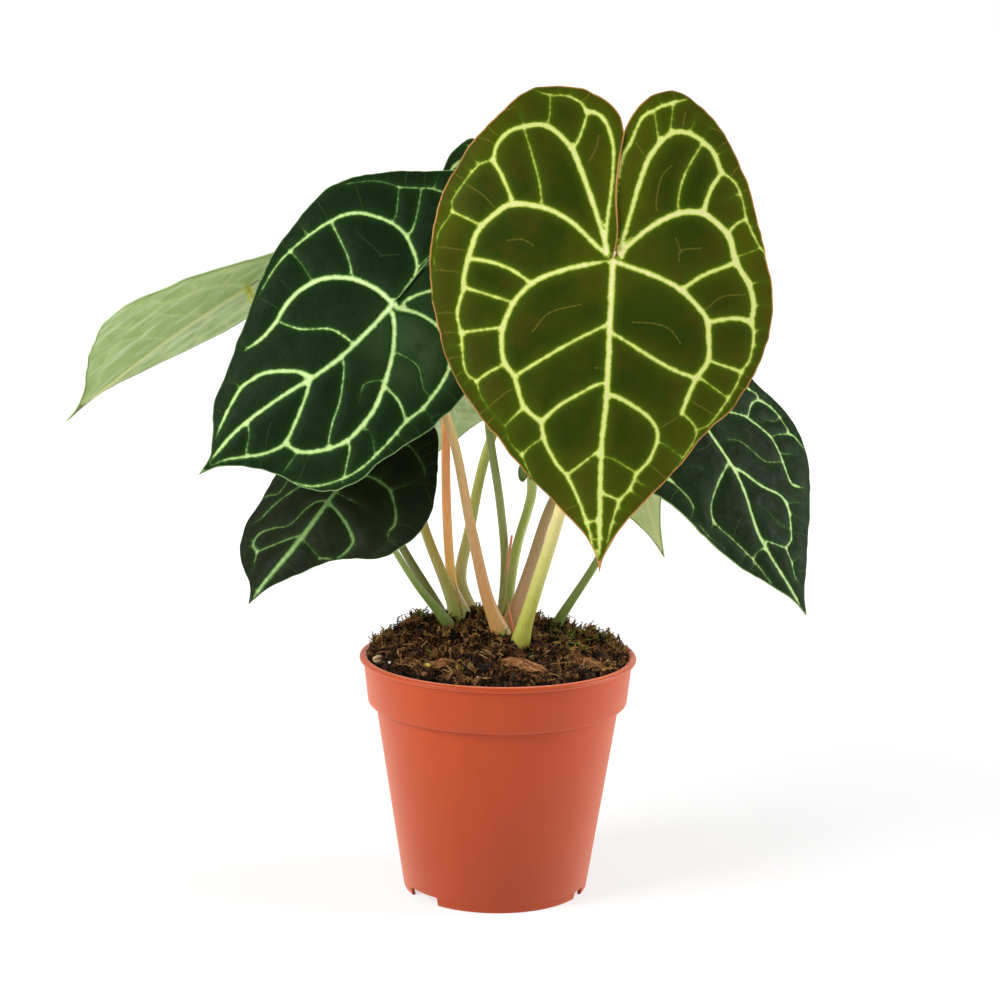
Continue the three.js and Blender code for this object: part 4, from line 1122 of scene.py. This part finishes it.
FRONT_OUTLINE = closed_outline(*lines_from("""
0 0, 1.6 -10, .6 -27, 1.6 -42, 3.2 -53
1 -61, -6 -68.5, -19 -73.2, -33 -71.6, -47 -60, -61.3 -41.7, -70 -22, -72.6 -3, -70.5 20, -63.3 43, -50.9 62.8,
 -33.4 83.5, -19.8 96.9, -6.2 110, -1.4 118.5, 0 124
0 0, 3 -10, 2.6 -30, 3.6 -46, 4.8 -56
7 -62, 13 -69.5, 22.3 -72.4, 32.1 -68.1, 43.9 -56.9, 54.2 -37.9, 61 -12, 65.6 10, 64.4 25.5, 59.5 41, 51.7 54.6,
 40.7 66.5, 26.2 85.2, 10.3 102.5, 3.4 113, 1 119, 0 124
"""))


def half_width(rim, side, along):
    """How far the outline reaches from the midrib on one side, at a place along the blade."""
    near = [abs(p.x) for p in rim if p.x * side > 0 and abs(p.y - along) < 4]
    return max(near, default=1)


def fitted_veins(outline, mirrored):
    """The front leaf's net of veins drawn to another outline, mirrored or not."""
    source = [p for line in FRONT_OUTLINE for p in smooth_line(line, 1.5)]
    target = [p for line in outline for p in smooth_line(line, 1.5)]
    bottom = max(p.y for p in target) / max(p.y for p in source)
    top = min(p.y for p in target) / min(p.y for p in source)
    veins = []
    for widths, line in FRONT_VEINS:
        if max(widths) < 0.9 or veins and min(y for _, y in line) > 105:
            continue
        moved = []
        squeeze = 1
        for x, y in line:
            side = 1 if x > 0 else -1
            new_side = -side if mirrored else side
            new_y = y * (bottom if y > 0 else top)
            half = half_width(source, side, y)
            new_half = half_width(target, new_side, new_y)
            squeeze = min(squeeze, new_half / half)
            moved.append((new_side * min(abs(x) / half, 0.97) * new_half, new_y))
        if veins and squeeze < 0.42 and max(widths) < 1.8:
            continue
        veins.append(([width * (0.35 + 0.65 * bottom) for width in widths], moved))
    return veins


LEFT_OUTLINE = closed_outline(*lines_from("""
0 0, -2.2 -10, -5.2 -24, -6.4 -37, -6 -48
-9 -56, -17 -61, -24 -60.8, -30.1 -57.4, -41 -45, -54.5 -26.5, -59.8 -12.6, -59 1, -53.4 23, -39.7 48.2,
 -25.8 71.4, -19 84, -10 91.5, -3 98, 0 106.8
0 0, -.6 -10, -3.2 -24, -4.4 -37, -3.4 -47
2 -54, 11 -57, 22 -54, 33 -43, 42.5 -25, 47.5 -4, 49.4 21.3, 46.6 46, 46.6 58, 41.9 70.8, 33 78, 20.2 84,
 10.5 90.5, 3.8 97.5, 0 106.8
"""))
LEFT_VEINS = veins_from("""
2.4 2 1.8: 0 .5, 2 14.5, 3 29.5, 2.5 39.5, -1.5 64.5, -3 83.5, -1 100
2.4 2.5 1.8: .5 .5, -9 1.5, -19 5.5, -26.5 12, -30 18, -31 22.5, -31.5 28.5, -30 36, -27.5 42.5, -26.5 50.5,
 -27.5 59.5
1.6 2 .7: -1 -2, -3 -12, -5 -16, -8 -18.5, -14.5 -21, -20.5 -22.5, -28 -22, -35 -19, -41.5 -14.5, -45.5 -8.5,
 -48.5 8, -48 24, -41.5 42
.9 .4 .1: -25 -47, -30.5 -44, -39.5 -35, -44.5 -32, -49 -28.5, -59 -14
1.3 1.1 .9: 2.5 23.5, -5 25, -9.5 27, -18.5 36.5, -28 41.5
2.2 1.9 1.4: 1.5 45.5, -4.5 48.5, -10 54, -14 59.5, -15.5 65, -16 70.5, -14 77, -9.5 87, -6.5 92.5
2.1 2.2 2: .5 3.5, 3.5 3.5, 6 5, 12 10, 17.5 16, 25.5 28.5, 28.5 34.5, 30 41, 31 50.5, 29.5 56.5, 26.5 62.5,
 21.5 69, 17 71, 14.5 71
1.7 1.8 1.1: 1.5 46.5, 3 48, 9 58.5, 13.5 68.5, 14.5 72, 12.5 79.5, 2.5 95.5, 1 100.5
.9 .9 .8: 3 30.5, 5.5 31.5, 16.5 43, 21.5 51.5, 26.5 58, 28 59
1.3 1.2 1.1: 24 25, 33 25, 41 28
1.8 1.8 1.3: 2.5 0, 13.5 -6, 20 -7.5, 28.5 -5.5, 35 0
2 1.3 .9: 35.5 0, 38.5 7, 41 19, 41 28, 43 43, 43 57, 39.5 67.5, 35 75, 32 77.5, 26.5 81, 23 82.5
.9 .9 .8: -1.5 -14, -1 -34, 4 -46, 12 -50, 21 -47
.5 .8 .8: -5 -16, -9.5 -43, -11.5 -49.5, -15 -53, -18 -54, -20.5 -52.5, -25 -47
1 .9 1.1: -46 -3, -29.5 1.5, -20 6
.5 .3 .3: -48 18, -41.5 18, -30.5 19.5
.5 .3 .3: -40 -34.5, -30 -24.5, -29 -22
.7 .6 1: -33 -41, -24 -31, -20 -25, -19.5 -22.5
-.4 -.2 -.1: -53.5 -21.5, -40 -16
1 1 1: 31 51.5, 33 52, 41 62
0 0 .2: 30.5 42, 36 42.5, 43 47
.5 .3 .5: -2 77.5, 2 80.5, 6.5 86, 8 87
-.3 .5 .4: 20.5 69.5, 23 82.5
-.5 -.9 -.9: 25 65.5, 25.5 69, 29 76.5, 29.5 79.5
.4 0 -.9: -48 18.2, -53 18.5
-.1 -.9 -.9: -46.5 -2.5, -57.5 -4.5
.4 .2 -.9: -48.5 8, -57 7.5
.3 .5 -.3: 15.5 13.5, 19 11.5, 26 9.5, 29 10.5, 36 14, 40 14
-.5 -.5 -.5: -41.5 41, -30 37
-.9 -.5 -.4: -35.5 -8, -19.5 -9.5
-.3 -.3 -.4: -19.5 -8.5, -18.5 -10.5, -15 -15
.9 .6 .5: 41 19, 46 19
.3 .6 -.1: 22 37.5, 19 33.5, 18 31, 20.5 25.5, 23 23
-.1 -.4 -.1: 4.5 70.5, 9.5 77.5, 12 80
.2 .2 .3: -23 75, -20.5 72, -16 70.5
-.4 -.8 -.5: -40.5 29, -31.5 28.5
1.6 1.4 1.1: 3.2 -.5, 5 -9.5, 7 -15, 10 -28, 17 -36, 27 -30, 34 -16, 36 -.5
""")
FAR_LEFT_OUTLINE = closed_outline(*lines_from("""
0 0, -1.2 -12, -1.6 -24, -2.5 -36
-7 -46, -16 -49, -27 -40, -36 -16, -39.5 8, -37.8 25, -30 45, -17.1 62, -5.5 76.3, -.6 88, 0 103.4
0 0, 1.2 -12, 1.6 -24, 2.2 -35
4.5 -42, 8 -41, 11 -31, 13.2 -18, 18.3 -6, 23.2 5.5, 28.5 17, 31.4 26.7, 35 35, 37.3 45, 37 56, 32.3 63, 25 71,
 17 78, 6.8 87, 1.8 95, 0 103.4
"""))
LOW_LEFT_OUTLINE = closed_outline(*lines_from("""
0 0, -1 -9, -1.3 -18, -2 -29
-7 -36, -17 -38, -29 -31, -38 -14, -41.5 3, -39.5 16.8, -35 29, -34.6 40, -28 50, -14.2 57, -5 60.5, 0 66.6
0 0, 1 -9, 1.3 -20, 2.4 -33
6 -40, 14 -41, 24 -33, 33 -21.5, 38.6 -10, 39.6 4, 35.4 17, 24 26, 15 36, 7.3 48.8, 2.4 58, 0 66.6
"""))
LOW_LEFT_VEINS = veins_from("""
2 2.6 2.4: 0 1, 1 15, 1.5 34, .2 56, .2 65.5
1.5 1.7 1: .5 13, 4.5 13, 9.5 14, 16 16.5, 20.5 19.5, 21 22, 19.5 29, 13.5 33.5
.1 .1 .6: 1.5 31, 13.5 33.5
.2 .3 .3: 0 7, 3.5 7, 12 5.5, 16 6
1.4 1.4 1.4: 0 1, 5 -4.5, 7.5 -6.5, 12.5 -7.5, 19 -7, 25.5 -2.5, 28 0, 30 3.5, 30 7.5, 32.5 10.5
.1 .1 .3: 19 -7, 23.5 -13.5, 29 -18
.8 .9 .4: 1 -4, 3 -15.5, 6 -21, 10 -25, 10 -27, 13.5 -27.5, 23 -24, 26 -22, 29 -17.5
.3 .6 .5: 12.5 -7.5, 12.5 -10.5, 13 -12.5
1.2 .8 1.9: .5 12, -4.5 15, -7 19.5, -9.5 30, -16.5 34.5, -22.5 40.5, -22.5 43.5, -21.5 45.5, -15.5 47
.9 1 1: 0 2, -9.5 5, -20 13, -26 26, -28 34.5, -30 38
1 1.1 1.1: 1.5 30, -.5 31.5, -15.5 47
.8 .8 .8: 0 0, -8.5 -6, -13 -8, -17 -7.5, -21 -5, -24.5 -1.5, -27.5 3, -30 9.5, -30 13.5, -29 18, -29 21,
 -34.5 25, -36.5 30.5
1.2 1.1 1: -15.5 47, -9.5 55
.7 .7 .6: -1 -3, -5 -20, -14 -28, -26 -20, -35 -4, -36 10
""")
RIGHT_OUTLINE = closed_outline(*lines_from("""
0 0, -1.2 -12, -1.8 -24, -2.8 -36
-7 -45, -15 -48, -27 -42, -38 -26, -45 -4, -47 16, -43.5 34, -36.5 47, -29.2 65.4, -19.1 83, -8.3 97, -2.8 105,
 0 113.6
0 0, 1.2 -12, 1.8 -24, 2.8 -34
8 -43, 17 -45, 28 -37, 36.5 -19, 41 0, 45.5 17, 51.5 29, 53.8 41, 47 58.5, 34.4 76, 18 92.4, 5 104.7, 0 113.6
"""))
RIGHT_VEINS = veins_from("""
2 1.9 1.6: 0 1, .5 23, 2 45, 1 53.5, -3.5 72, -3.5 81, -1.2 103, -.8 111
1.4 .9 .7: 1.5 40, -9.5 45.5, -17 50.5, -20.5 54, -22 57.5, -21.5 61.5, -17.5 69.5, -12.5 81.5, -8.5 97,
 -7 100.5
1.9 1.4 .7: 2 44, 4.5 45, 12.5 56, 20.5 63.5, 22 67, 21.5 69.5, 20 73, 13 82.5, 7.5 84.5, 6.5 90, 4 97.5, 5 103
1.4 1.4 1.4: 0 2, 2.5 3, 8 11, 15 18.5, 25.5 25.5, 28 28.5, 33.5 38, 34 41, 33.5 47.5, 31 61.5, 33 63.5, 39 67
1.1 1.6 .7: 27 27, 34.6 22.4, 40.4 22.7, 46.1 30.2, 47 38.6, 47 42.8
1.4 1.1 1.4: 38 16, 41 20, 40 22
0 1.4 .8: 33.5 39, 41.5 40.5, 47.5 43, 48.5 44.5, 50 52, 49.5 55
.3 .7 .3: 33.5 47.5, 44 52
.8 .8 1.1: 0 2, -10 3.5, -15.5 5.5, -23.5 11.5, -29.5 18.5, -31.5 23, -32.5 28, -31.5 35, -28.5 44.5,
 -28.5 49.5, -32.5 53.5
1.1 .9 .8: 2 -2, 10 -14, 22 -14, 32 -4, 36 8, 38 16
.8 .8 .7: 1 -3, 4 -24, 12 -36, 22 -32, 30 -20, 32 -4
.9 .9 .9: -2 -2, -10.5 -12, -18 -15, -22 -15.5, -25.5 -14.5, -29 -12, -32.5 -8.5, -37.5 1.5, -39 7, -39.5 13,
 -37.5 24, -33.5 33.5, -31 36
.8 .8 .7: -1 -3, -5 -26, -13 -38, -24 -33, -32 -20, -34 -6
.9 .9 1.1: -3.5 76, 7.5 84.5
1.1 .5 .7: -3.5 80, -8 79.5, -12.5 81.5
0 0 0: -17.5 69.5, -12 65, -8 63.5
.2 .5 0: -31 53, -32 54.5, -30.5 57, -28 64.5, -24 70
0 -.9 -.9: 31.5 62, 38 69.5
1.6 0 -.9: 21.5 66, 22 73, 27.5 80
.9 .5 -.9: -22 57.5, -24 60.5, -26 61, -29 61
0 .7 .2: 4 30.5, 14 34, 22 47, 25.5 49, 33 51.5
.2 0 0: 5.5 63.5, 8 67, 10.5 73.5, 14 77, 16.5 78
-.4 0 0: -11.5 29, -6.5 30, .5 28
.2 0 -.2: 22 68, 28.5 70, 34.5 74
-.9 .3 .2: 30.5 33, 36.5 31.5, 42.5 34, 47.5 33.5
.2 .2 -.4: -17.5 34, -13 37.5, -11 41
-.9 -.2 0: 15.5 79.5, 24 84.5
.3 .2 .2: 8 24, 10 27.5, 9.5 32
""")
TOP_OUTLINE = heart(66, 58, 35)
BACK_LEFT_OUTLINE = heart(74, 76, 28)
INNER_OUTLINE = [[(x * (0.34 if x > 0 else 1), y) for x, y in line] for line in heart(46, 36, 12.5)]
BACK_RIGHT_OUTLINE = heart(80, 60, 34)
BACK_RIGHT_OUTLINE[1][6:] = [(-30, 10.4), (-27, 24), (-17.5, 37), (-8, 48.5), (-4.2, 58), (-2, 67), (0, 80)]
BACK_OUTLINE = heart(82, 68, 36)
HIGH_BACK_OUTLINE = heart(72, 62, 28)

# Each leaf: joint, the point its tip aims at, the side its upper face looks to, midrib length, bends in
# degrees, outline, veins, mesh pitch, finishes of its three faces, and the record's slot.
LEAVES = {
    "front": (
        ((43.2, -68, 281), (39.1, -98, 163), (0.05, -0.97, 0.24), 122, 14, (4, 4), 10, 6, (1, 7, 40),
         2.6, ((2.3, 0), (2.3, -10), (1.6, -28), (2.6, -44), (4, -55), (4, -80))),
        FRONT_OUTLINE, FRONT_VEINS, 1.6, (olive_skin, green_below, copper_rim), "blade_olive",
    ),
    "left": (
        ((-44.5, -32, 259), (-122.4, -40, 188.6), (-0.15, -0.93, 0.33), 106.8, 16, (5, 5), 8, 6, (1, 6, 100),
         2.6, ((0, 0), (-1.4, -10), (-4.2, -24), (-5.4, -37), (-4.7, -48), (-4, -80))),
        LEFT_OUTLINE, LEFT_VEINS, 1.7, (dark_skin, green_below, green_rim), "blade_dark",
    ),
    "far_left": (
        ((-109.9, 30, 260.2), (-192.1, 36, 198.1), (-0.5, 0.46, 0.72), 103, 14, (-8, -8), 0.5, 8, (0.8, 6, 0)),
        FAR_LEFT_OUTLINE, fitted_veins(FAR_LEFT_OUTLINE, False), 1.9, (dark_skin, pale_below, green_rim),
        "blade_pale",
    ),
    "low_left": (
        ((-65.2, -20, 183.9), (-104.8, -36, 132.7), (-0.2, -0.8, 0.5), 66.6, 10, (25, 5), 8, 8, (0.8, 7, 200)),
        LOW_LEFT_OUTLINE, LOW_LEFT_VEINS, 1.7, (painted_shade_skin, green_below, green_rim), "blade_dark",
    ),
    "right": (
        ((75.9, 12, 221.3), (131.1, -8, 124.4), (0.52, -0.68, 0.5), 113.6, 14, (3, 3), 6, 8, (0.8, 7, 60)),
        RIGHT_OUTLINE, RIGHT_VEINS, 1.7, (dull_skin, green_below, green_rim), "blade_dark",
    ),
    "top": (
        ((-3.4, 12, 290.4), (-1.7, 18, 224.2), (0, -0.98, 0.1), 66, 14, (6, 6), 10, 20, (1, 5, 0)),
        TOP_OUTLINE, fitted_veins(TOP_OUTLINE, True), 1.9, (dark_skin, green_below, green_rim), "blade_dark",
    ),
    "back_left": (
        ((-45, 62, 206), (-36, 112, 174), (-0.1, 0.5, 0.85), 74, 14, (6, 6), 8, 8, (1, 6, 30)),
        BACK_LEFT_OUTLINE, fitted_veins(BACK_LEFT_OUTLINE, False), 1.9, (dark_skin, pale_below, green_rim),
        "blade_pale",
    ),
    "inner": (
        ((13.6, 40, 177), (22.6, 83, 172), (0.05, 0.2, 0.97), 46, 8, (-38, -34), -20, 260, (0.6, 5, 0)),
        INNER_OUTLINE, fitted_veins(INNER_OUTLINE, True), 1.8, (pale_below, pale_below, green_rim),
        "blade_pale",
    ),
    "back_right": (
        ((52, 48, 209.1), (74.8, 62, 134.6), (0.3, 0.85, 0.35), 80, 12, (6, 6), 10, 8, (1, 6, 60)),
        BACK_RIGHT_OUTLINE, fitted_veins(BACK_RIGHT_OUTLINE, True), 1.9, (olive_skin, painted_light_below, green_rim),
        "blade_pale",
    ),
    "back": (
        ((19, 58, 250), (30, 124, 205), (0.05, 0.5, 0.85), 82, 18, (6, 6), 10, 10, (1, 6, 90)),
        BACK_OUTLINE, fitted_veins(BACK_OUTLINE, False), 1.9, (dark_skin, pale_below, green_rim), "blade_pale",
    ),
    "high_back": (
        ((-18, 50, 268), (-58, 100, 234), (-0.3, 0.4, 0.86), 72, 18, (6, 6), 10, 10, (1, 6, 150)),
        HIGH_BACK_OUTLINE, fitted_veins(HIGH_BACK_OUTLINE, True), 1.9, (olive_skin, pale_below, copper_rim),
        "blade_pale",
    ),
}
# How high the fields between the veins stand, where it isn't 0.5.
PUFFS = {"left": 1.1, "low_left": 1.3, "right": 1.0}
surfaces = {}
for name, (bends, outline, veins, pitch, finishes, slot) in LEAVES.items():
    surfaces[name] = Blade(*bends)
    veins = veins + margin_veinlets(outline, veins, name)
    blade = blade_mesh(f"leaf_{name}", surfaces[name], outline, veins, pitch, PUFFS.get(name, 0.5))
    for finish in finishes:
        blade.data.materials.append(finish)
    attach(blade, "root")
    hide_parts(f"blade_{name}")


# ---- Petioles ----
# Round fleshy stalks that grew from one crown, with a shallow channel on the side of the blade, a flared
# sheath at the foot and a swollen joint under the blade.
PETIOLE_SIDES = 20
UP = Vector((0, 0, 1))


def tube(name, line, radii, channel, flare, sunk=10):
    """A closed tube along a line of points, with its place from foot to top in "rise"."""
    rings = len(line)
    bpy.ops.object.select_all(action="DESELECT")
    bpy.ops.mesh.primitive_grid_add(x_subdivisions=PETIOLE_SIDES, y_subdivisions=rings - 1, size=2)
    stalk = bpy.context.object
    stalk.name = name
    normal = Vector((0, -1, 0))
    places = []
    for i, point in enumerate(line):
        tangent = (line[min(i + 1, rings - 1)] - line[max(i - 1, 0)]).normalized()
        normal = (normal - tangent * normal.dot(tangent)).normalized()
        side = tangent.cross(normal)
        share = i / (rings - 1)
        place = share * (len(radii) - 1)
        low = min(int(place), len(radii) - 2)
        radius = radii[low] + (radii[low + 1] - radii[low]) * (place - low)
        for j in range(PETIOLE_SIDES + 1):
            angle = 2 * math.pi * j / PETIOLE_SIDES
            away = math.atan2(math.sin(angle - math.pi), math.cos(angle - math.pi))
            groove = channel * math.exp(-(away / 0.45) ** 2) * (1 - share ** 4)
            above = max(0, (point - line[0]).length - sunk)
            wide = 1 + flare * math.exp(-((above / 9) ** 1.3)) * (0.7 + 0.5 * abs(math.sin(angle)))
            reach = radius * (1 - groove) * wide
            places.append(point + (normal * math.cos(angle) + side * math.sin(angle)) * reach)
    for vertex, place in zip(stalk.data.vertices, places):
        vertex.co = place * MM
    layer = stalk.data.attributes.new("rise", "FLOAT", "POINT")
    layer.data.foreach_set("value", [i // (PETIOLE_SIDES + 1) / (rings - 1) for i in range(len(places))])
    bpy.ops.object.mode_set(mode="EDIT")
    bpy.ops.mesh.select_all(action="SELECT")
    bpy.ops.mesh.remove_doubles(threshold=1e-6)
    bpy.ops.mesh.select_all(action="DESELECT")
    bpy.ops.mesh.select_non_manifold(extend=False)
    bpy.ops.mesh.edge_face_add()
    face_outwards()
    bpy.ops.object.shade_smooth_by_angle(angle=math.radians(60))
    return stalk


def stalk_finish(name, stops, gloss=0.42, painted_glow=0.13):
    """Fleshy skin whose colour changes from foot to top, with fine pale lines along it. It glows a little
    with painted light, standing in for light through thin flesh with a white wall behind it."""
    material, tree, shader = new_material(name)
    place = node(tree, "TexCoord")
    rise = node(tree, "Attribute", {"attribute_name": "rise"})
    drawn_out = node(tree, "Mapping", {"Scale": (1, 1, 0.08)}, {"Vector": (place, "Object")})
    lines = node(tree, "TexNoise", {"Scale": 1400, "Detail": 3}, {"Vector": drawn_out})
    patches = node(tree, "TexNoise", {"Scale": 70, "Detail": 3}, {"Vector": (place, "Object")})
    shift = node(tree, "MapRange", {"From Min": 0.3, "From Max": 0.7, "To Min": -0.05, "To Max": 0.05},
                 {"Value": (patches, "Fac")})
    spot = node(tree, "Math", {"operation": "ADD"}, {0: (rise, "Fac"), 1: shift})
    ramp = node(tree, "ValToRGB", {"stops": stops}, {"Fac": spot})
    shade = node(tree, "MapRange", {"From Min": 0.3, "From Max": 0.7, "To Min": 0.86, "To Max": 1.08},
                 {"Value": (lines, "Fac")})
    tone = node(tree, "VectorMath", {"operation": "SCALE"}, {0: ramp, "Scale": shade})
    bump = node(tree, "Bump", {"Strength": 0.25, "Distance": 0.0002}, {"Height": (lines, "Fac")})
    node(tree, shader, {"Roughness": gloss, "Specular IOR Level": 0.45, "Emission Strength": painted_glow},
         {"Base Color": tone, "Emission Color": tone, "Normal": bump})
    return material


# How far a foot flares, where it isn't 0.35, and how strongly one thin stalk glows with painted light.
FLARES = {"front": 0.5, "left": 0.6, "low_left": 0.5, "back_left": 0.95, "back": 0.5, "back_right": 0.9}
PAINTED_GLOWS = {"high_back": 0.36}
# Each petiole: its course from the soil to below its blade, radii from foot to top, the record's slot, and
# its colours from foot to top.
PETIOLES = {
    "front": ([(9, -6, 108.1), (25.6, -26, 173.4), (36, -46, 222)], [3, 2.9, 2.6, 2.4, 2.2, 2.5],
              "petiole_green",
              [(0, "#909238"), (0.1, "#A0A244"), (0.22, "#AEAE58"), (0.45, "#CAB87E"), (1, "#DACA8C")]),
    "left": ([(2.1, 1, 110), (-4.8, -2, 128.7), (-12, -6, 159.7), (-23, -16, 210.2)],
             [3.1, 2.6, 2.1, 1.9, 1.8, 2.1], "petiole_tan",
             [(0, "#9EA24C"), (0.1, "#B08A4C"), (0.17, "#C08A50"), (0.45, "#C89E66"), (0.75, "#B89E5C"),
              (1, "#A29A54")]),
    "far_left": ([(-24.5, 25, 113.5), (-43, 26, 145.5), (-78, 28, 207)], [2, 1.9, 1.7, 1.6, 1.6, 1.9],
                 "petiole_green", [(0, "#5E5E26"), (0.3, "#70702E"), (0.7, "#88883A"), (1, "#A8A84A")]),
    "low_left": ([(-20.2, 10, 111.4), (-36.3, 3, 134.6), (-50, -5, 158)], [2.1, 1.9, 1.5, 1.3, 1.3, 1.6],
                 "petiole_green", [(0, "#5E7030"), (0.3, "#6E8238"), (0.6, "#8A9C4C"), (1, "#A8B870")]),
    "right": ([(24.3, 26, 107.8), (42.6, 22, 140.2), (60.7, 14, 178.9)], [2, 1.9, 1.7, 1.6, 1.6, 2],
              "petiole_green", [(0, "#62782E"), (0.3, "#6C7E36"), (0.6, "#788038"), (1, "#7C8444")]),
    "top": ([(2.3, 36, 115.5), (2.4, 33, 141), (-0.1, 29.5, 166), (-5.3, 25, 200), (-8, 20, 250)],
            [2, 1.9, 1.8, 1.7, 1.6, 1.9], "petiole_green",
            [(0, "#8A8C46"), (0.3, "#8E9450"), (0.5, "#74823C"), (0.65, "#566826"), (1, "#5E7030")]),
    "back_left": ([(-16.5, 18.5, 113.2), (-34, 33, 155)], [2.6, 2.4, 2.1, 1.9, 2.2], "petiole_green",
                  [(0, "#747C34"), (0.13, "#969A46"), (0.3, "#B09C54"), (0.6, "#AC9C50"), (1, "#A8A452")]),
    "inner": ([(3.2, 25, 114.5), (7.4, 29, 144)], [2.6, 2.3, 2.2, 2.1, 2.3], "petiole_green",
              [(0, "#80842E"), (0.25, "#8A923C"), (0.5, "#A0AA54"), (1, "#B2BC6C")]),
    "back_right": ([(6.4, 8, 112.7), (14.8, 14, 143), (24, 21, 169.3)], [3.3, 2.9, 2.4, 2.1, 2, 2.3],
                   "petiole_tan",
                   [(0, "#9A8A44"), (0.12, "#B28860"), (0.3, "#AA8860"), (0.6, "#A48C5A"), (1, "#A49458")]),
    "back": ([(-12.5, 30, 114), (-17.2, 35, 129), (-13.6, 39, 150), (-4.8, 44, 190)],
             [2.5, 2.6, 2.3, 2.1, 2, 2.3], "petiole_green",
             [(0, "#A48A5A"), (0.15, "#B0A466"), (0.35, "#AAAC58"), (0.7, "#A8AC52"), (1, "#929A4A")]),
    "high_back": ([(-18.2, 33, 114.5), (-21.3, 31, 132), (-23.4, 27, 162), (-24, 24, 195), (-23.5, 29, 232)],
                  [2.2, 2.1, 2, 1.9, 1.8, 2.1], "petiole_salmon",
                  [(0, "#B8A04C"), (0.18, "#D0A054"), (0.35, "#D08A52"), (0.7, "#D08752"), (1, "#A8984E")]),
}
for name, (path, radii, slot, stops) in PETIOLES.items():
    flare = FLARES.get(name, 0.35)
    surface = surfaces[name]
    normal = surface.normal(0, 1.6)
    droop = radii[-1] * math.tan(max(surface.fold))
    end = surface.point(0, 1.6) - normal * (0.4 + 0.3 + max(0.54, droop) - 0.35)
    knee = end - normal * 9
    path = [Vector(p) for p in path]
    down = UP.lerp((path[1] - path[0]).normalized(), 0.35)
    line = smooth_line([path[0] - down * 10, *path, knee, end], 2.6)
    stalk = tube(f"stalk_{name}", line, radii, 0.12, flare)
    stalk.data.materials.append(stalk_finish(f"fleshy_stalk_{name}", stops, painted_glow=PAINTED_GLOWS.get(name, 0.13)))
    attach(stalk, "root")
    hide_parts(f"petiole_{name}")


# ---- Dried sheaths ----
# Papery bracts that once wrapped young leaves, now dry and rolled, standing between the stalks' feet. The
# rusty edges of the two sheaths that are still green lie on the stalks they wrap.
SHEATHS = {
    "sheath_pink": ([(-1, 18, 106), (1.6, 17.6, 124), (5.4, 17, 153)], [1.6, 1.2, 0.8, 0.5],
                    [(0, "#8E8444"), (0.6, "#8C8A48"), (0.75, "#C88A66"), (1, "#D87C68")]),
    "sheath_straw": ([(-8, 19, 104), (-11, 18.5, 114), (-19.2, 20.5, 130)], [1.3, 0.9, 0.6, 0.4],
                     [(0, "#A08A58"), (0.5, "#CDBB92"), (1, "#DCCFB0")]),
    "sheath_edge_right": ([(6.8, -0.6, 113), (5, 2.2, 121), (3.4, 5.6, 128)], [0.45, 0.5, 0.35, 0.15],
                          [(0, "#B8603C"), (0.5, "#D2724C"), (1, "#C88A60")]),
    "sheath_edge_left": ([(-15.8, 14.2, 117), (-17.5, 15.6, 125), (-20.6, 17.6, 135.5)],
                         [0.4, 0.45, 0.35, 0.15],
                         [(0, "#7E5638"), (0.5, "#A8704C"), (1, "#B48A58")]),
}
for name, (path, radii, stops) in SHEATHS.items():
    bract = tube(f"dry_{name}", smooth_line(path, 2), radii, 0.35, 0)
    # The sheaths glow with the stalks' painted light as well.
    bract.data.materials.append(stalk_finish(f"papery_{name}", stops, 0.65))
    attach(bract, "root")
    if "edge" not in name:
        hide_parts(name)
